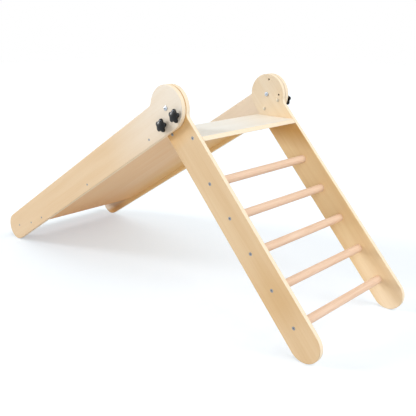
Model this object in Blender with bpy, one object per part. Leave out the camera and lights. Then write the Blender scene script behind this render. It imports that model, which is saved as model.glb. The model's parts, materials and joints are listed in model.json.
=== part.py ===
# Wooden slide ladder for small children: a leaning plywood ladder with a top step, and a
# slide that hinges on the ladder's two head bolts and folds over the top onto the rungs.
# Near is the -Y side and far is the +Y side. The slide runs down to -X, the ladder to +X.

import math

import bmesh
import bpy
from mathutils import Matrix, Vector

# Clearances, in metres
SEAT_GAP = 0.0003  # between pieces that touch on the real object
RUNNING_GAP = 0.0004  # around a pin that turns or slides in its hole
CUT_OVERRUN = 0.002  # how far a cutter reaches past the face it opens
WELD_DISTANCE = 0.000001

# Side profile shared by the ladder rails and the slide panels
PLY_THICKNESS = 0.015
HEAD_RADIUS = 0.065
RAIL_FRONT = 0.035  # the notched long edge, above the line through the pivot
NOTCH_RADIUS = 0.020  # hollow curve between the round head and the long edge
RAIL_EDGE_ROUND = 0.0025

# Ladder
CLEAR_WIDTH = 0.417  # between the two ladder rails
LADDER_LEAN = math.radians(47.8)  # above the floor
RUNG_COUNT = 5
RUNG_DIAMETER = 0.025
RUNG_SPACING = 0.110
TOP_RUNG_DISTANCE = 0.245  # from the pivot, along the rail
LAST_RUNG_TO_FOOT = 0.049  # from the last rung to the centre of the round foot
STEP_THICKNESS = 0.012
STEP_DROP = 0.0685  # from the pivot down to the top of the step
STEP_BACK = 0.038  # from the pivot back to the step's rear edge
STEP_EDGE_ROUND = 0.003
STEP_SCREW_BACK = 0.046  # from the step's rear edge to its first screw
STEP_SCREW_SPACING = 0.080

# Slide
SLIDE_RUN = 1.038  # from the pivot to the centre of the round foot, along the panel
BOARD_THICKNESS = 0.012
FOLD_CLEARANCE = 0.005  # between the folded slide's board and the ladder's front edge
SWING_CLEARANCE = 0.005  # between the board's top end and the step as the slide swings
BEND_RUN = 0.225  # the board starts to level out this far before the foot's centre
BEND_RADIUS = 0.715
BOARD_END_MARGIN = 0.018  # from the board's lower end to the tip of the panels
BOARD_EDGE_ROUND = 0.003
ROUND_SEGMENTS = 2  # facets across a rounded edge
BOARD_SCREW_SHARES = (0.1044, 0.445, 0.768, 0.846, 0.931)  # of the panel, pivot to tip

# Furniture screws that hold the rungs and the step
SCREW_LENGTH = 0.050
SCREW_DIAMETER = 0.005
SCREW_HEAD_DIAMETER = 0.010
SCREW_HEAD_RIM = 0.001
SCREW_POINT = 0.003
SCREW_SOCKET_WIDTH = 0.004
SCREW_SOCKET_DEPTH = 0.0022

# Wood screws that hold the slide's board
BOARD_SCREW_LENGTH = 0.038
BOARD_SCREW_DIAMETER = 0.0035
BOARD_SCREW_HEAD_DIAMETER = 0.007
BOARD_SCREW_HEAD_RIM = 0.0005
BOARD_SCREW_POINT = 0.004
BOARD_SCREW_SOCKET_WIDTH = 0.0025
BOARD_SCREW_SOCKET_DEPTH = 0.0015

# Pivot: a bolt through each pair of heads, held by a sleeve nut in the rail
PIVOT_DIAMETER = 0.008
PIVOT_HEAD_DIAMETER = 0.014
PIVOT_HEAD_HEIGHT = 0.004
PIVOT_HEAD_CROWN = 0.0025  # of the head's height, the part that is domed
PIVOT_SOCKET_WIDTH = 0.005
PIVOT_SOCKET_DEPTH = 0.0025
PIVOT_TIP_MARGIN = 0.003  # from the bolt's tip to the rail's inner face
PIVOT_NUT_DIAMETER = 0.0105
PIVOT_NUT_LENGTH = 0.012
PIVOT_NUT_FLOOR = 0.003
PIVOT_NUT_HEAD_DIAMETER = 0.014
PIVOT_NUT_HEAD_HEIGHT = 0.002
WASHER_DIAMETER = 0.024
WASHER_THICKNESS = 0.0005

# Star knobs, whose threaded studs pass through the slide's panels into nuts in the rails
KNOB_RADIUS_FROM_PIVOT = 0.0485
KNOB_ANGLES = {"low": math.radians(-50.5), "high": math.radians(28.5)}
KNOB_DIAMETER = 0.040
KNOB_VALLEY_DIAMETER = 0.029
KNOB_LOBES = 5
KNOB_POINTS_PER_LOBE = 8
KNOB_LOBE_POWER = 1.15
KNOB_THICKNESS = 0.0105
KNOB_TOP_ROUND = 0.0025
KNOB_HUB_DIAMETER = 0.018
KNOB_HUB_HEIGHT = 0.0015
STUD_DIAMETER = 0.006
STUD_POINT = 0.0006
STUD_FLANGE_DIAMETER = 0.010
STUD_FLANGE_THICKNESS = 0.003
STUD_ROOT_DEPTH = 0.0075  # how deep the stud's flange sits in the knob, from the hub's face
LOCK_DEPTH = 0.006  # how far a tightened stud reaches into the rail

# Threaded fittings in the rails: slotted sleeve nuts where the knobs lock the open slide,
# and open inserts where they lock the folded one
LOCK_NUT_DIAMETER = 0.0085
LOCK_NUT_LENGTH = 0.014
LOCK_NUT_FLOOR = 0.002
LOCK_NUT_HEAD_DIAMETER = 0.011
LOCK_NUT_HEAD_HEIGHT = 0.0012
LOCK_NUT_SLOT_WIDTH = 0.0012
LOCK_NUT_SLOT_DEPTH = 0.0006
INSERT_DIAMETER = 0.010
INSERT_LENGTH = 0.012

# Facets
HEAD_ARC_STEPS = 22
NOTCH_ARC_STEPS = 4
FOOT_ARC_STEPS = 14
BEND_ARC_STEPS = 12
RUNG_SEGMENTS = 24
FASTENER_SEGMENTS = 10
PIVOT_SEGMENTS = 18

# Places that follow from the sizes above
RAIL_WIDTH = HEAD_RADIUS + RAIL_FRONT
RAIL_DROP = HEAD_RADIUS - RAIL_WIDTH / 2  # the profile's middle line, below the pivot line
FOOT_RADIUS = RAIL_WIDTH / 2
LADDER_RUN = TOP_RUNG_DISTANCE + (RUNG_COUNT - 1) * RUNG_SPACING + LAST_RUNG_TO_FOOT
PIVOT_HEIGHT = FOOT_RADIUS + LADDER_RUN * math.sin(LADDER_LEAN) + RAIL_DROP * math.cos(LADDER_LEAN)
SLIDE_LEAN = math.asin((PIVOT_HEIGHT - FOOT_RADIUS) / math.hypot(SLIDE_RUN, RAIL_DROP)) - math.atan2(
    RAIL_DROP, SLIDE_RUN
)
OPENING_ANGLE = math.pi - LADDER_LEAN - SLIDE_LEAN
FOLD_ANGLE = 2 * math.pi - OPENING_ANGLE
LADDER_REACH = LADDER_RUN * math.cos(LADDER_LEAN) - RAIL_DROP * math.sin(LADDER_LEAN) + FOOT_RADIUS
SLIDE_REACH = SLIDE_RUN * math.cos(SLIDE_LEAN) - RAIL_DROP * math.sin(SLIDE_LEAN) + FOOT_RADIUS
PIVOT = Vector(((SLIDE_REACH - LADDER_REACH) / 2, 0, PIVOT_HEIGHT))

PANEL_GAP = WASHER_THICKNESS + 2 * SEAT_GAP
RAIL_INNER = CLEAR_WIDTH / 2
RAIL_OUTER = RAIL_INNER + PLY_THICKNESS
PANEL_INNER = RAIL_OUTER + PANEL_GAP
PANEL_OUTER = PANEL_INNER + PLY_THICKNESS

BOARD_TOP = RAIL_FRONT + FOLD_CLEARANCE  # below the slide's pivot line
BOARD_MIDDLE = BOARD_TOP + BOARD_THICKNESS / 2
BOARD_BOTTOM = BOARD_TOP + BOARD_THICKNESS
STEP_SWING = math.hypot(STEP_BACK, STEP_DROP + STEP_THICKNESS)
BOARD_START = math.sqrt((max(STEP_SWING, HEAD_RADIUS) + SWING_CLEARANCE) ** 2 - BOARD_TOP**2)
PANEL_TIP = SLIDE_RUN + FOOT_RADIUS
BEND_START = SLIDE_RUN - BEND_RUN
BEND_ANGLE = math.asin((PANEL_TIP - BOARD_END_MARGIN - BEND_START) / BEND_RADIUS)

KNOB_TRAVEL = LOCK_DEPTH + PANEL_GAP + RUNNING_GAP
KNOB_FACE = PANEL_OUTER + SEAT_GAP + KNOB_TRAVEL  # where the hub's face stands, backed off
STUD_TIP = PANEL_INNER + RUNNING_GAP
STORED_TURN = OPENING_ANGLE  # the folded slide meets the rail's holes this far round

SIDES = {"near": -1, "far": 1}
FLAT_LIMIT = math.radians(20)  # sharper turns than this keep a crisp edge on sawn boards
ROUND_LIMIT = math.radians(40)  # and on turned pieces


def linear_colour(red, green, blue):
    """A colour given in 0 to 255 display values, as Blender's linear values."""
    channels = []
    for value in (red, green, blue):
        share = value / 255
        channels.append(share / 12.92 if share <= 0.04045 else ((share + 0.055) / 1.055) ** 2.4)
    return (*channels, 1.0)


def make_material(name, colour, roughness, metallic=0.0):
    material = bpy.data.materials.new(name)
    material.use_nodes = True
    shader = material.node_tree.nodes["Principled BSDF"]
    shader.inputs["Base Color"].default_value = linear_colour(*colour)
    shader.inputs["Roughness"].default_value = roughness
    shader.inputs["Metallic"].default_value = metallic
    material.diffuse_color = linear_colour(*colour)
    return material


def mesh_from(bm, name, sharp_limit=ROUND_LIMIT):
    bmesh.ops.recalc_face_normals(bm, faces=bm.faces)
    mesh = bpy.data.meshes.new(name)
    bm.to_mesh(mesh)
    bm.free()
    mesh.shade_smooth()
    mesh.set_sharp_from_angle(angle=sharp_limit)
    return mesh


def turned(name, profile, segments, closed=False):
    """A solid of revolution about Z. An open profile starts and ends on the axis."""
    bm = bmesh.new()
    points = [bm.verts.new((radius, 0, height)) for radius, height in profile]
    lines = [bm.edges.new(pair) for pair in zip(points, points[1:])]
    if closed:
        lines.append(bm.edges.new((points[-1], points[0])))
    bmesh.ops.spin(
        bm,
        geom=points + lines,
        cent=(0, 0, 0),
        axis=(0, 0, 1),
        angle=2 * math.pi,
        steps=segments,
        use_merge=True,
    )
    bmesh.ops.remove_doubles(bm, verts=bm.verts, dist=WELD_DISTANCE)
    return mesh_from(bm, name)


def round_edges(bm, edges, amount):
    bmesh.ops.bevel(
        bm,
        geom=edges,
        offset=amount,
        affect="EDGES",
        segments=ROUND_SEGMENTS,
        profile=0.5,
        material=-1,
    )


def extruded(name, outline, low, high, edge_round=0.0):
    """A solid between y = low and y = high whose side outline is given in x and z."""
    bm = bmesh.new()
    face = bm.faces.new([bm.verts.new((x, low, z)) for x, z in outline])
    rims = list(face.edges)
    grown = bmesh.ops.extrude_face_region(bm, geom=[face])["geom"]
    far_points = [item for item in grown if isinstance(item, bmesh.types.BMVert)]
    far_faces = [item for item in grown if isinstance(item, bmesh.types.BMFace)]
    bmesh.ops.translate(bm, verts=far_points, vec=(0, high - low, 0))
    if edge_round:
        rims += [edge for far_face in far_faces for edge in far_face.edges]
        round_edges(bm, rims, edge_round)
    return mesh_from(bm, name, FLAT_LIMIT)


def arc(centre, radius, start, end, steps):
    """Points round a circle from one angle to another, both ends included."""
    points = []
    for step in range(steps + 1):
        angle = start + (end - start) * step / steps
        points.append((centre[0] + radius * math.cos(angle), centre[1] + radius * math.sin(angle)))
    return points


def merged(name, placed_meshes):
    """One mesh made of several, each moved by its own matrix."""
    bm = bmesh.new()
    for mesh, matrix in placed_meshes:
        before = len(bm.verts)
        bm.from_mesh(mesh)
        bm.verts.ensure_lookup_table()
        bmesh.ops.transform(bm, matrix=matrix, verts=bm.verts[before:])
    return mesh_from(bm, name)


def add_object(name, mesh, material, parent, matrix=None):
    mesh_object = bpy.data.objects.new(name, mesh)
    bpy.context.collection.objects.link(mesh_object)
    mesh_object.parent = parent
    if matrix is not None:
        mesh_object.matrix_local = matrix
    if material and not mesh.materials:
        mesh.materials.append(material)
    return mesh_object


def add_empty(name, parent, matrix):
    empty = bpy.data.objects.new(name, None)
    bpy.context.collection.objects.link(empty)
    empty.parent = parent
    empty.matrix_local = matrix
    return empty


def cut(target, name, cutter_mesh, parent, matrix=None, operation="DIFFERENCE"):
    """Cuts the mesh out of the target, or joins it to the target, with a live Boolean."""
    cutter = add_object(name, cutter_mesh, None, parent, matrix)
    cutter.hide_render = True
    cutter.display_type = "WIRE"
    modifier = target.modifiers.new(name, "BOOLEAN")
    modifier.operation = operation
    modifier.solver = "EXACT"
    modifier.object = cutter


def facing_out(side, x, distance, z):
    """Places a fastener whose own +Z points out of the given side, at that distance from the middle."""
    return Matrix.Translation((x, side * distance, z)) @ Matrix.Rotation(-side * math.pi / 2, 4, "X")


def facing_in(side, x, distance, z):
    """The same for a fastener whose own +Z points towards the middle."""
    return Matrix.Translation((x, side * distance, z)) @ Matrix.Rotation(side * math.pi / 2, 4, "X")


def side_outline(direction, run):
    """The profile of a rail (direction 1) or of a slide panel (direction -1), pivot at zero."""
    notch_centre = (
        math.sqrt((HEAD_RADIUS + NOTCH_RADIUS) ** 2 - (RAIL_FRONT + NOTCH_RADIUS) ** 2),
        RAIL_FRONT + NOTCH_RADIUS,
    )
    notch_angle = math.atan2(notch_centre[1], notch_centre[0])
    points = arc((0, 0), HEAD_RADIUS, notch_angle, 1.5 * math.pi, HEAD_ARC_STEPS)
    points += arc((run, -RAIL_DROP), FOOT_RADIUS, -math.pi / 2, math.pi / 2, FOOT_ARC_STEPS)
    hollow = arc(notch_centre, NOTCH_RADIUS, -math.pi / 2, notch_angle - math.pi, NOTCH_ARC_STEPS)
    points += hollow[:-1]
    return [(direction * x, z) for x, z in points]


def screw_profile(length, diameter, head_diameter, head_rim, point):
    """A countersunk screw, from the middle of its head at zero down to its tip."""
    cone = (head_diameter - diameter) / 2
    return [
        (0, 0),
        (head_diameter / 2, 0),
        (head_diameter / 2, -head_rim),
        (diameter / 2, -head_rim - cone),
        (diameter / 2, point - length),
        (0, -length),
    ]


def screw_hole_profile(length, diameter, head_diameter, head_rim):
    """The countersunk hole for that screw, open above its head."""
    cone = (head_diameter - diameter) / 2
    return [
        (0, CUT_OVERRUN),
        (head_diameter / 2 + SEAT_GAP, CUT_OVERRUN),
        (head_diameter / 2 + SEAT_GAP, -head_rim - SEAT_GAP),
        (diameter / 2 + SEAT_GAP, -head_rim - cone - SEAT_GAP),
        (diameter / 2 + SEAT_GAP, -length - SEAT_GAP),
        (0, -length - SEAT_GAP),
    ]


def straight_hole_profile(radius):
    """A plain hole through a rail or a panel, from its outer face at zero."""
    depth = PLY_THICKNESS + CUT_OVERRUN
    return [(0, CUT_OVERRUN), (radius, CUT_OVERRUN), (radius, -depth), (0, -depth)]


def stepped_hole_profile(outer_radius, step_depth, inner_radius):
    """A hole that changes size at a depth below the outer face."""
    depth = PLY_THICKNESS + CUT_OVERRUN
    return [
        (0, CUT_OVERRUN),
        (outer_radius, CUT_OVERRUN),
        (outer_radius, -step_depth),
        (inner_radius, -step_depth),
        (inner_radius, -depth),
        (0, -depth),
    ]


def sleeve_nut_profile(head_diameter, head_height, diameter, length, floor, bore):
    """A nut whose head lies on top of zero and whose blind sleeve runs down from zero."""
    return [
        (0, head_height),
        (head_diameter / 2, head_height),
        (head_diameter / 2, 0),
        (diameter / 2, 0),
        (diameter / 2, -length),
        (bore, -length),
        (bore, head_height - floor),
        (0, head_height - floor),
    ]


def finished_mesh(name, blank):
    """The blank's mesh with its Booleans worked out. The blank and its cutters are removed."""
    graph = bpy.context.evaluated_depsgraph_get()
    mesh = bpy.data.meshes.new_from_object(blank.evaluated_get(graph))
    mesh.name = name
    helpers = [modifier.object for modifier in blank.modifiers]
    for helper in (blank, *helpers):
        bpy.data.objects.remove(helper)
    return mesh


def socketed(name, mesh, width, depth, top=0.0):
    """The same mesh with a hexagon socket cut down from its top face at the given height."""
    radius = width / math.sqrt(3)
    high = top + CUT_OVERRUN
    low = top - depth
    socket = turned(name + "_socket", [(0, high), (radius, high), (radius, low), (0, low)], 6)
    blank = add_object(name + "_blank", mesh, None, None)
    cut(blank, name + "_socket", socket, None)
    return finished_mesh(name, blank)


def rung_place(index):
    return TOP_RUNG_DISTANCE + index * RUNG_SPACING


def step_screw_places():
    """Where the step's screws cross the rails, in the ladder's own tilted frame."""
    level = -STEP_DROP - STEP_THICKNESS / 2
    places = []
    for index in range(2):
        across = STEP_SCREW_BACK - STEP_BACK + index * STEP_SCREW_SPACING
        places.append(
            (
                across * math.cos(LADDER_LEAN) - level * math.sin(LADDER_LEAN),
                across * math.sin(LADDER_LEAN) + level * math.cos(LADDER_LEAN),
            )
        )
    return places


def knob_place(which, turn=0.0):
    """A knob's place beside the pivot, in the ladder's tilted frame, turned on by an angle."""
    angle = KNOB_ANGLES[which] + turn
    return KNOB_RADIUS_FROM_PIVOT * math.cos(angle), KNOB_RADIUS_FROM_PIVOT * math.sin(angle)


def board_line(run, offset=0.0):
    """The board's middle line in the slide's frame at a distance from the pivot, or a line beside it."""
    if run <= BEND_START:
        return -run, -BOARD_MIDDLE + offset
    bend = math.asin((run - BEND_START) / BEND_RADIUS)
    rise = BEND_RADIUS - (BEND_RADIUS - offset) * math.cos(bend)
    return -BEND_START - (BEND_RADIUS - offset) * math.sin(bend), rise - BOARD_MIDDLE


def board_outline():
    runs = [BOARD_START]
    for step in range(BEND_ARC_STEPS + 1):
        runs.append(BEND_START + BEND_RADIUS * math.sin(BEND_ANGLE * step / BEND_ARC_STEPS))
    top = [board_line(run, BOARD_THICKNESS / 2) for run in runs]
    bottom = [board_line(run, -BOARD_THICKNESS / 2) for run in reversed(runs)]
    return top + bottom


def star_outline():
    """The knob's lobed outline, one lobe pointing along +Y."""
    count = KNOB_LOBES * KNOB_POINTS_PER_LOBE
    depth = (KNOB_DIAMETER - KNOB_VALLEY_DIAMETER) / 2
    points = []
    for index in range(count):
        angle = 2 * math.pi * index / count
        swell = ((1 + math.cos(KNOB_LOBES * angle)) / 2) ** KNOB_LOBE_POWER
        radius = KNOB_VALLEY_DIAMETER / 2 + depth * swell
        points.append((radius * math.sin(angle), radius * math.cos(angle)))
    return points


def make_rails(frame, materials):
    """The two ladder rails, with countersunk screw holes, pivot bores and locking holes."""
    screw_hole = turned(
        "screw_hole",
        screw_hole_profile(SCREW_LENGTH, SCREW_DIAMETER, SCREW_HEAD_DIAMETER, SCREW_HEAD_RIM),
        FASTENER_SEGMENTS,
    )
    pivot_bore = turned(
        "pivot_bore",
        stepped_hole_profile(
            PIVOT_DIAMETER / 2 + RUNNING_GAP,
            PLY_THICKNESS - PIVOT_NUT_LENGTH - SEAT_GAP,
            PIVOT_NUT_DIAMETER / 2 + SEAT_GAP,
        ),
        PIVOT_SEGMENTS,
    )
    lock_radius = LOCK_NUT_DIAMETER / 2 + SEAT_GAP
    lock_hole = turned("lock_hole", straight_hole_profile(lock_radius), FASTENER_SEGMENTS)
    stored_hole = turned(
        "stored_hole",
        stepped_hole_profile(
            INSERT_DIAMETER / 2 + SEAT_GAP, INSERT_LENGTH + SEAT_GAP, STUD_DIAMETER / 2 + RUNNING_GAP
        ),
        FASTENER_SEGMENTS,
    )
    for side_name, side in SIDES.items():
        name = "ladder_rail_" + side_name
        low, high = sorted((side * RAIL_INNER, side * RAIL_OUTER))
        mesh = extruded(name, side_outline(1, LADDER_RUN), low, high, RAIL_EDGE_ROUND)
        rail = add_object(name, mesh, materials["rail"], frame)
        holes = [(pivot_bore, facing_out(side, 0, RAIL_OUTER, 0))]
        for index in range(RUNG_COUNT):
            holes.append((screw_hole, facing_out(side, rung_place(index), RAIL_OUTER, -RAIL_DROP)))
        for x, z in step_screw_places():
            holes.append((screw_hole, facing_out(side, x, RAIL_OUTER, z)))
        for which in KNOB_ANGLES:
            x, z = knob_place(which)
            holes.append((lock_hole, facing_out(side, x, RAIL_OUTER, z)))
            x, z = knob_place(which, STORED_TURN)
            holes.append((stored_hole, facing_out(side, x, RAIL_OUTER, z)))
        cut(rail, name + "_holes", merged(name + "_holes", holes), frame)


def make_rungs(frame, materials):
    length = CLEAR_WIDTH - 2 * SEAT_GAP
    radius = RUNG_DIAMETER / 2
    profile = [(0, length / 2), (radius, length / 2), (radius, -length / 2), (0, -length / 2)]
    mesh = turned("rung", profile, RUNG_SEGMENTS)
    hole = turned(
        "rung_hole",
        screw_hole_profile(SCREW_LENGTH, SCREW_DIAMETER, SCREW_HEAD_DIAMETER, SCREW_HEAD_RIM),
        FASTENER_SEGMENTS,
    )
    for index in range(RUNG_COUNT):
        name = f"rung_{index + 1}"
        x = rung_place(index)
        rung = add_object(name, mesh, materials["rung"], frame, facing_out(1, x, 0, -RAIL_DROP))
        holes = [(hole, facing_out(side, x, RAIL_OUTER, -RAIL_DROP)) for side in SIDES.values()]
        cut(rung, name + "_holes", merged(name + "_holes", holes), frame)


def make_step(level_frame, ladder_frame, materials):
    """The top step: level, with its front edge cut to the slope of the rails' front edges."""
    top = -STEP_DROP
    bottom = -STEP_DROP - STEP_THICKNESS
    outline = [(-STEP_BACK, bottom), (-STEP_BACK, top)]
    for z in (top, bottom):
        outline.append(((RAIL_FRONT - z * math.cos(LADDER_LEAN)) / math.sin(LADDER_LEAN), z))
    end = RAIL_INNER - SEAT_GAP
    bm = bmesh.new()
    bm.from_mesh(extruded("step_blank", outline, -end, end))
    long_edges = [edge for edge in bm.edges if abs(edge.verts[0].co.y - edge.verts[1].co.y) > end]
    round_edges(bm, long_edges, STEP_EDGE_ROUND)
    step_mesh = mesh_from(bm, "step_board", FLAT_LIMIT)
    step = add_object("step_board", step_mesh, materials["step"], level_frame)
    hole = turned(
        "step_hole",
        screw_hole_profile(SCREW_LENGTH, SCREW_DIAMETER, SCREW_HEAD_DIAMETER, SCREW_HEAD_RIM),
        FASTENER_SEGMENTS,
    )
    holes = []
    for side in SIDES.values():
        for x, z in step_screw_places():
            holes.append((hole, facing_out(side, x, RAIL_OUTER, z)))
    cut(step, "step_board_holes", merged("step_board_holes", holes), ladder_frame)


def make_ladder_screws(frame, materials):
    blank = turned(
        "furniture_screw",
        screw_profile(SCREW_LENGTH, SCREW_DIAMETER, SCREW_HEAD_DIAMETER, SCREW_HEAD_RIM, SCREW_POINT),
        FASTENER_SEGMENTS,
    )
    mesh = socketed("furniture_screw", blank, SCREW_SOCKET_WIDTH, SCREW_SOCKET_DEPTH)
    for side_name, side in SIDES.items():
        for index in range(RUNG_COUNT):
            place = facing_out(side, rung_place(index), RAIL_OUTER, -RAIL_DROP)
            add_object(f"rung_screw_{side_name}_{index + 1}", mesh, materials["zinc"], frame, place)
        for index, (x, z) in enumerate(step_screw_places()):
            place = facing_out(side, x, RAIL_OUTER, z)
            add_object(f"step_screw_{side_name}_{index + 1}", mesh, materials["zinc"], frame, place)


def make_pivot_bolt_mesh():
    """A bolt with a low domed head, its shank running down from zero."""
    head = PIVOT_HEAD_DIAMETER / 2
    shank = PIVOT_DIAMETER / 2
    length = PANEL_OUTER + SEAT_GAP - RAIL_INNER - PIVOT_TIP_MARGIN
    rim = PIVOT_HEAD_HEIGHT - PIVOT_HEAD_CROWN
    crown = []
    for angle in (math.pi / 3, math.pi / 6, 0):
        crown.append((head * math.cos(angle), rim + PIVOT_HEAD_CROWN * math.sin(angle)))
    top = crown[0][1]
    profile = [(0, top), *crown, (head, 0), (shank, 0), (shank, -length), (0, -length)]
    blank = turned("pivot_bolt_blank", profile, PIVOT_SEGMENTS)
    return socketed("pivot_bolt", blank, PIVOT_SOCKET_WIDTH, PIVOT_SOCKET_DEPTH, top)


def make_pivots(frame, materials):
    """The bolts, sleeve nuts and thin washers that the slide turns on."""
    bolt_mesh = make_pivot_bolt_mesh()
    nut_profile = sleeve_nut_profile(
        PIVOT_NUT_HEAD_DIAMETER,
        PIVOT_NUT_HEAD_HEIGHT,
        PIVOT_NUT_DIAMETER,
        PIVOT_NUT_LENGTH,
        PIVOT_NUT_FLOOR,
        PIVOT_DIAMETER / 2 + RUNNING_GAP,
    )
    nut_mesh = turned("pivot_nut", nut_profile, PIVOT_SEGMENTS)
    hole = PIVOT_DIAMETER / 2 + RUNNING_GAP
    rim_radius = WASHER_DIAMETER / 2
    washer_profile = [
        (hole, 0),
        (rim_radius, 0),
        (rim_radius, -WASHER_THICKNESS),
        (hole, -WASHER_THICKNESS),
    ]
    washer_mesh = turned("pivot_washer", washer_profile, PIVOT_SEGMENTS, closed=True)
    for side_name, side in SIDES.items():
        place = facing_out(side, 0, PANEL_OUTER + SEAT_GAP, 0)
        add_object("pivot_bolt_" + side_name, bolt_mesh, materials["zinc"], frame, place)
        place = facing_in(side, 0, RAIL_INNER - SEAT_GAP, 0)
        add_object("pivot_nut_" + side_name, nut_mesh, materials["zinc"], frame, place)
        place = facing_out(side, 0, PANEL_INNER - SEAT_GAP, 0)
        add_object("pivot_washer_" + side_name, washer_mesh, materials["nylon"], frame, place)


def make_panels(frame, materials):
    """The two sides of the slide, with holes for the pivot, the knobs and the board's screws."""
    pivot_radius = PIVOT_DIAMETER / 2 + RUNNING_GAP
    pivot_hole = turned("panel_pivot_hole", straight_hole_profile(pivot_radius), PIVOT_SEGMENTS)
    stud_radius = STUD_DIAMETER / 2 + RUNNING_GAP
    knob_hole = turned("knob_hole", straight_hole_profile(stud_radius), FASTENER_SEGMENTS)
    screw_hole = turned("board_screw_hole", board_screw_hole(), FASTENER_SEGMENTS)
    for side_name, side in SIDES.items():
        name = "slide_panel_" + side_name
        low, high = sorted((side * PANEL_INNER, side * PANEL_OUTER))
        mesh = extruded(name, side_outline(-1, SLIDE_RUN), low, high, RAIL_EDGE_ROUND)
        panel = add_object(name, mesh, materials["panel"], frame)
        holes = [(pivot_hole, facing_out(side, 0, PANEL_OUTER, 0))]
        for which in KNOB_ANGLES:
            x, z = knob_on_slide(which)
            holes.append((knob_hole, facing_out(side, x, PANEL_OUTER, z)))
        for share in BOARD_SCREW_SHARES:
            x, z = board_line(share * PANEL_TIP)
            holes.append((screw_hole, facing_out(side, x, PANEL_OUTER, z)))
        cut(panel, name + "_holes", merged(name + "_holes", holes), frame)


def board_screw_hole():
    return screw_hole_profile(
        BOARD_SCREW_LENGTH, BOARD_SCREW_DIAMETER, BOARD_SCREW_HEAD_DIAMETER, BOARD_SCREW_HEAD_RIM
    )


def knob_on_slide(which):
    """A knob's place in the slide's frame, which stands tilted the other way from the ladder's."""
    x, z = knob_place(which)
    turned_place = Matrix.Rotation(LADDER_LEAN + SLIDE_LEAN, 3, "Y") @ Vector((x, 0, z))
    return turned_place.x, turned_place.z


def make_board(frame, materials):
    """The board between the panels: straight, then levelling out towards the foot."""
    end = PANEL_INNER - SEAT_GAP
    bm = bmesh.new()
    bm.from_mesh(extruded("board_blank", board_outline(), -end, end))
    reach = max(abs(vertex.co.x) for vertex in bm.verts)
    tips = (-BOARD_START, -reach)
    end_edges = []
    for edge in bm.edges:
        first, second = (vertex.co for vertex in edge.verts)
        crosses = abs(first.y - second.y) > end
        if crosses and any(abs(first.x - tip) < BOARD_THICKNESS for tip in tips):
            end_edges.append(edge)
    round_edges(bm, end_edges, BOARD_EDGE_ROUND)
    board_mesh = mesh_from(bm, "slide_board", FLAT_LIMIT)
    board = add_object("slide_board", board_mesh, materials["board"], frame)
    hole = turned("board_hole", board_screw_hole(), FASTENER_SEGMENTS)
    holes = []
    for side in SIDES.values():
        for share in BOARD_SCREW_SHARES:
            x, z = board_line(share * PANEL_TIP)
            holes.append((hole, facing_out(side, x, PANEL_OUTER, z)))
    cut(board, "slide_board_holes", merged("slide_board_holes", holes), frame)


def make_board_screws(frame, materials):
    blank = turned(
        "board_screw",
        screw_profile(
            BOARD_SCREW_LENGTH,
            BOARD_SCREW_DIAMETER,
            BOARD_SCREW_HEAD_DIAMETER,
            BOARD_SCREW_HEAD_RIM,
            BOARD_SCREW_POINT,
        ),
        FASTENER_SEGMENTS,
    )
    mesh = socketed("board_screw", blank, BOARD_SCREW_SOCKET_WIDTH, BOARD_SCREW_SOCKET_DEPTH)
    for side_name, side in SIDES.items():
        for index, share in enumerate(BOARD_SCREW_SHARES):
            x, z = board_line(share * PANEL_TIP)
            place = facing_out(side, x, PANEL_OUTER, z)
            add_object(f"board_screw_{side_name}_{index + 1}", mesh, materials["zinc"], frame, place)


def make_knob_head_mesh():
    """A star knob standing on its hub, whose face is at zero, with a pocket for the stud."""
    bm = bmesh.new()
    face = bm.faces.new([bm.verts.new((x, y, KNOB_HUB_HEIGHT)) for x, y in star_outline()])
    grown = bmesh.ops.extrude_face_region(bm, geom=[face])["geom"]
    top_points = [item for item in grown if isinstance(item, bmesh.types.BMVert)]
    top_edges = [item for item in grown if isinstance(item, bmesh.types.BMEdge)]
    bmesh.ops.translate(bm, verts=top_points, vec=(0, 0, KNOB_THICKNESS))
    round_edges(bm, top_edges, KNOB_TOP_ROUND)
    head = add_object("knob_blank", mesh_from(bm, "knob_blank"), None, None)
    hub_radius = KNOB_HUB_DIAMETER / 2
    hub_top = KNOB_HUB_HEIGHT + KNOB_THICKNESS / 2
    hub_profile = [(0, hub_top), (hub_radius, hub_top), (hub_radius, 0), (0, 0)]
    hub = turned("knob_hub", hub_profile, FASTENER_SEGMENTS * 2)
    cut(head, "knob_hub", hub, None, operation="UNION")
    flange = STUD_FLANGE_DIAMETER / 2 + SEAT_GAP
    shank = STUD_DIAMETER / 2 + SEAT_GAP
    pocket_profile = [
        (0, STUD_ROOT_DEPTH + SEAT_GAP),
        (flange, STUD_ROOT_DEPTH + SEAT_GAP),
        (flange, STUD_ROOT_DEPTH - STUD_FLANGE_THICKNESS - SEAT_GAP),
        (shank, STUD_ROOT_DEPTH - STUD_FLANGE_THICKNESS - SEAT_GAP),
        (shank, -CUT_OVERRUN),
        (0, -CUT_OVERRUN),
    ]
    cut(head, "knob_pocket", turned("knob_pocket", pocket_profile, FASTENER_SEGMENTS), None)
    return finished_mesh("knob_head", head)


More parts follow.
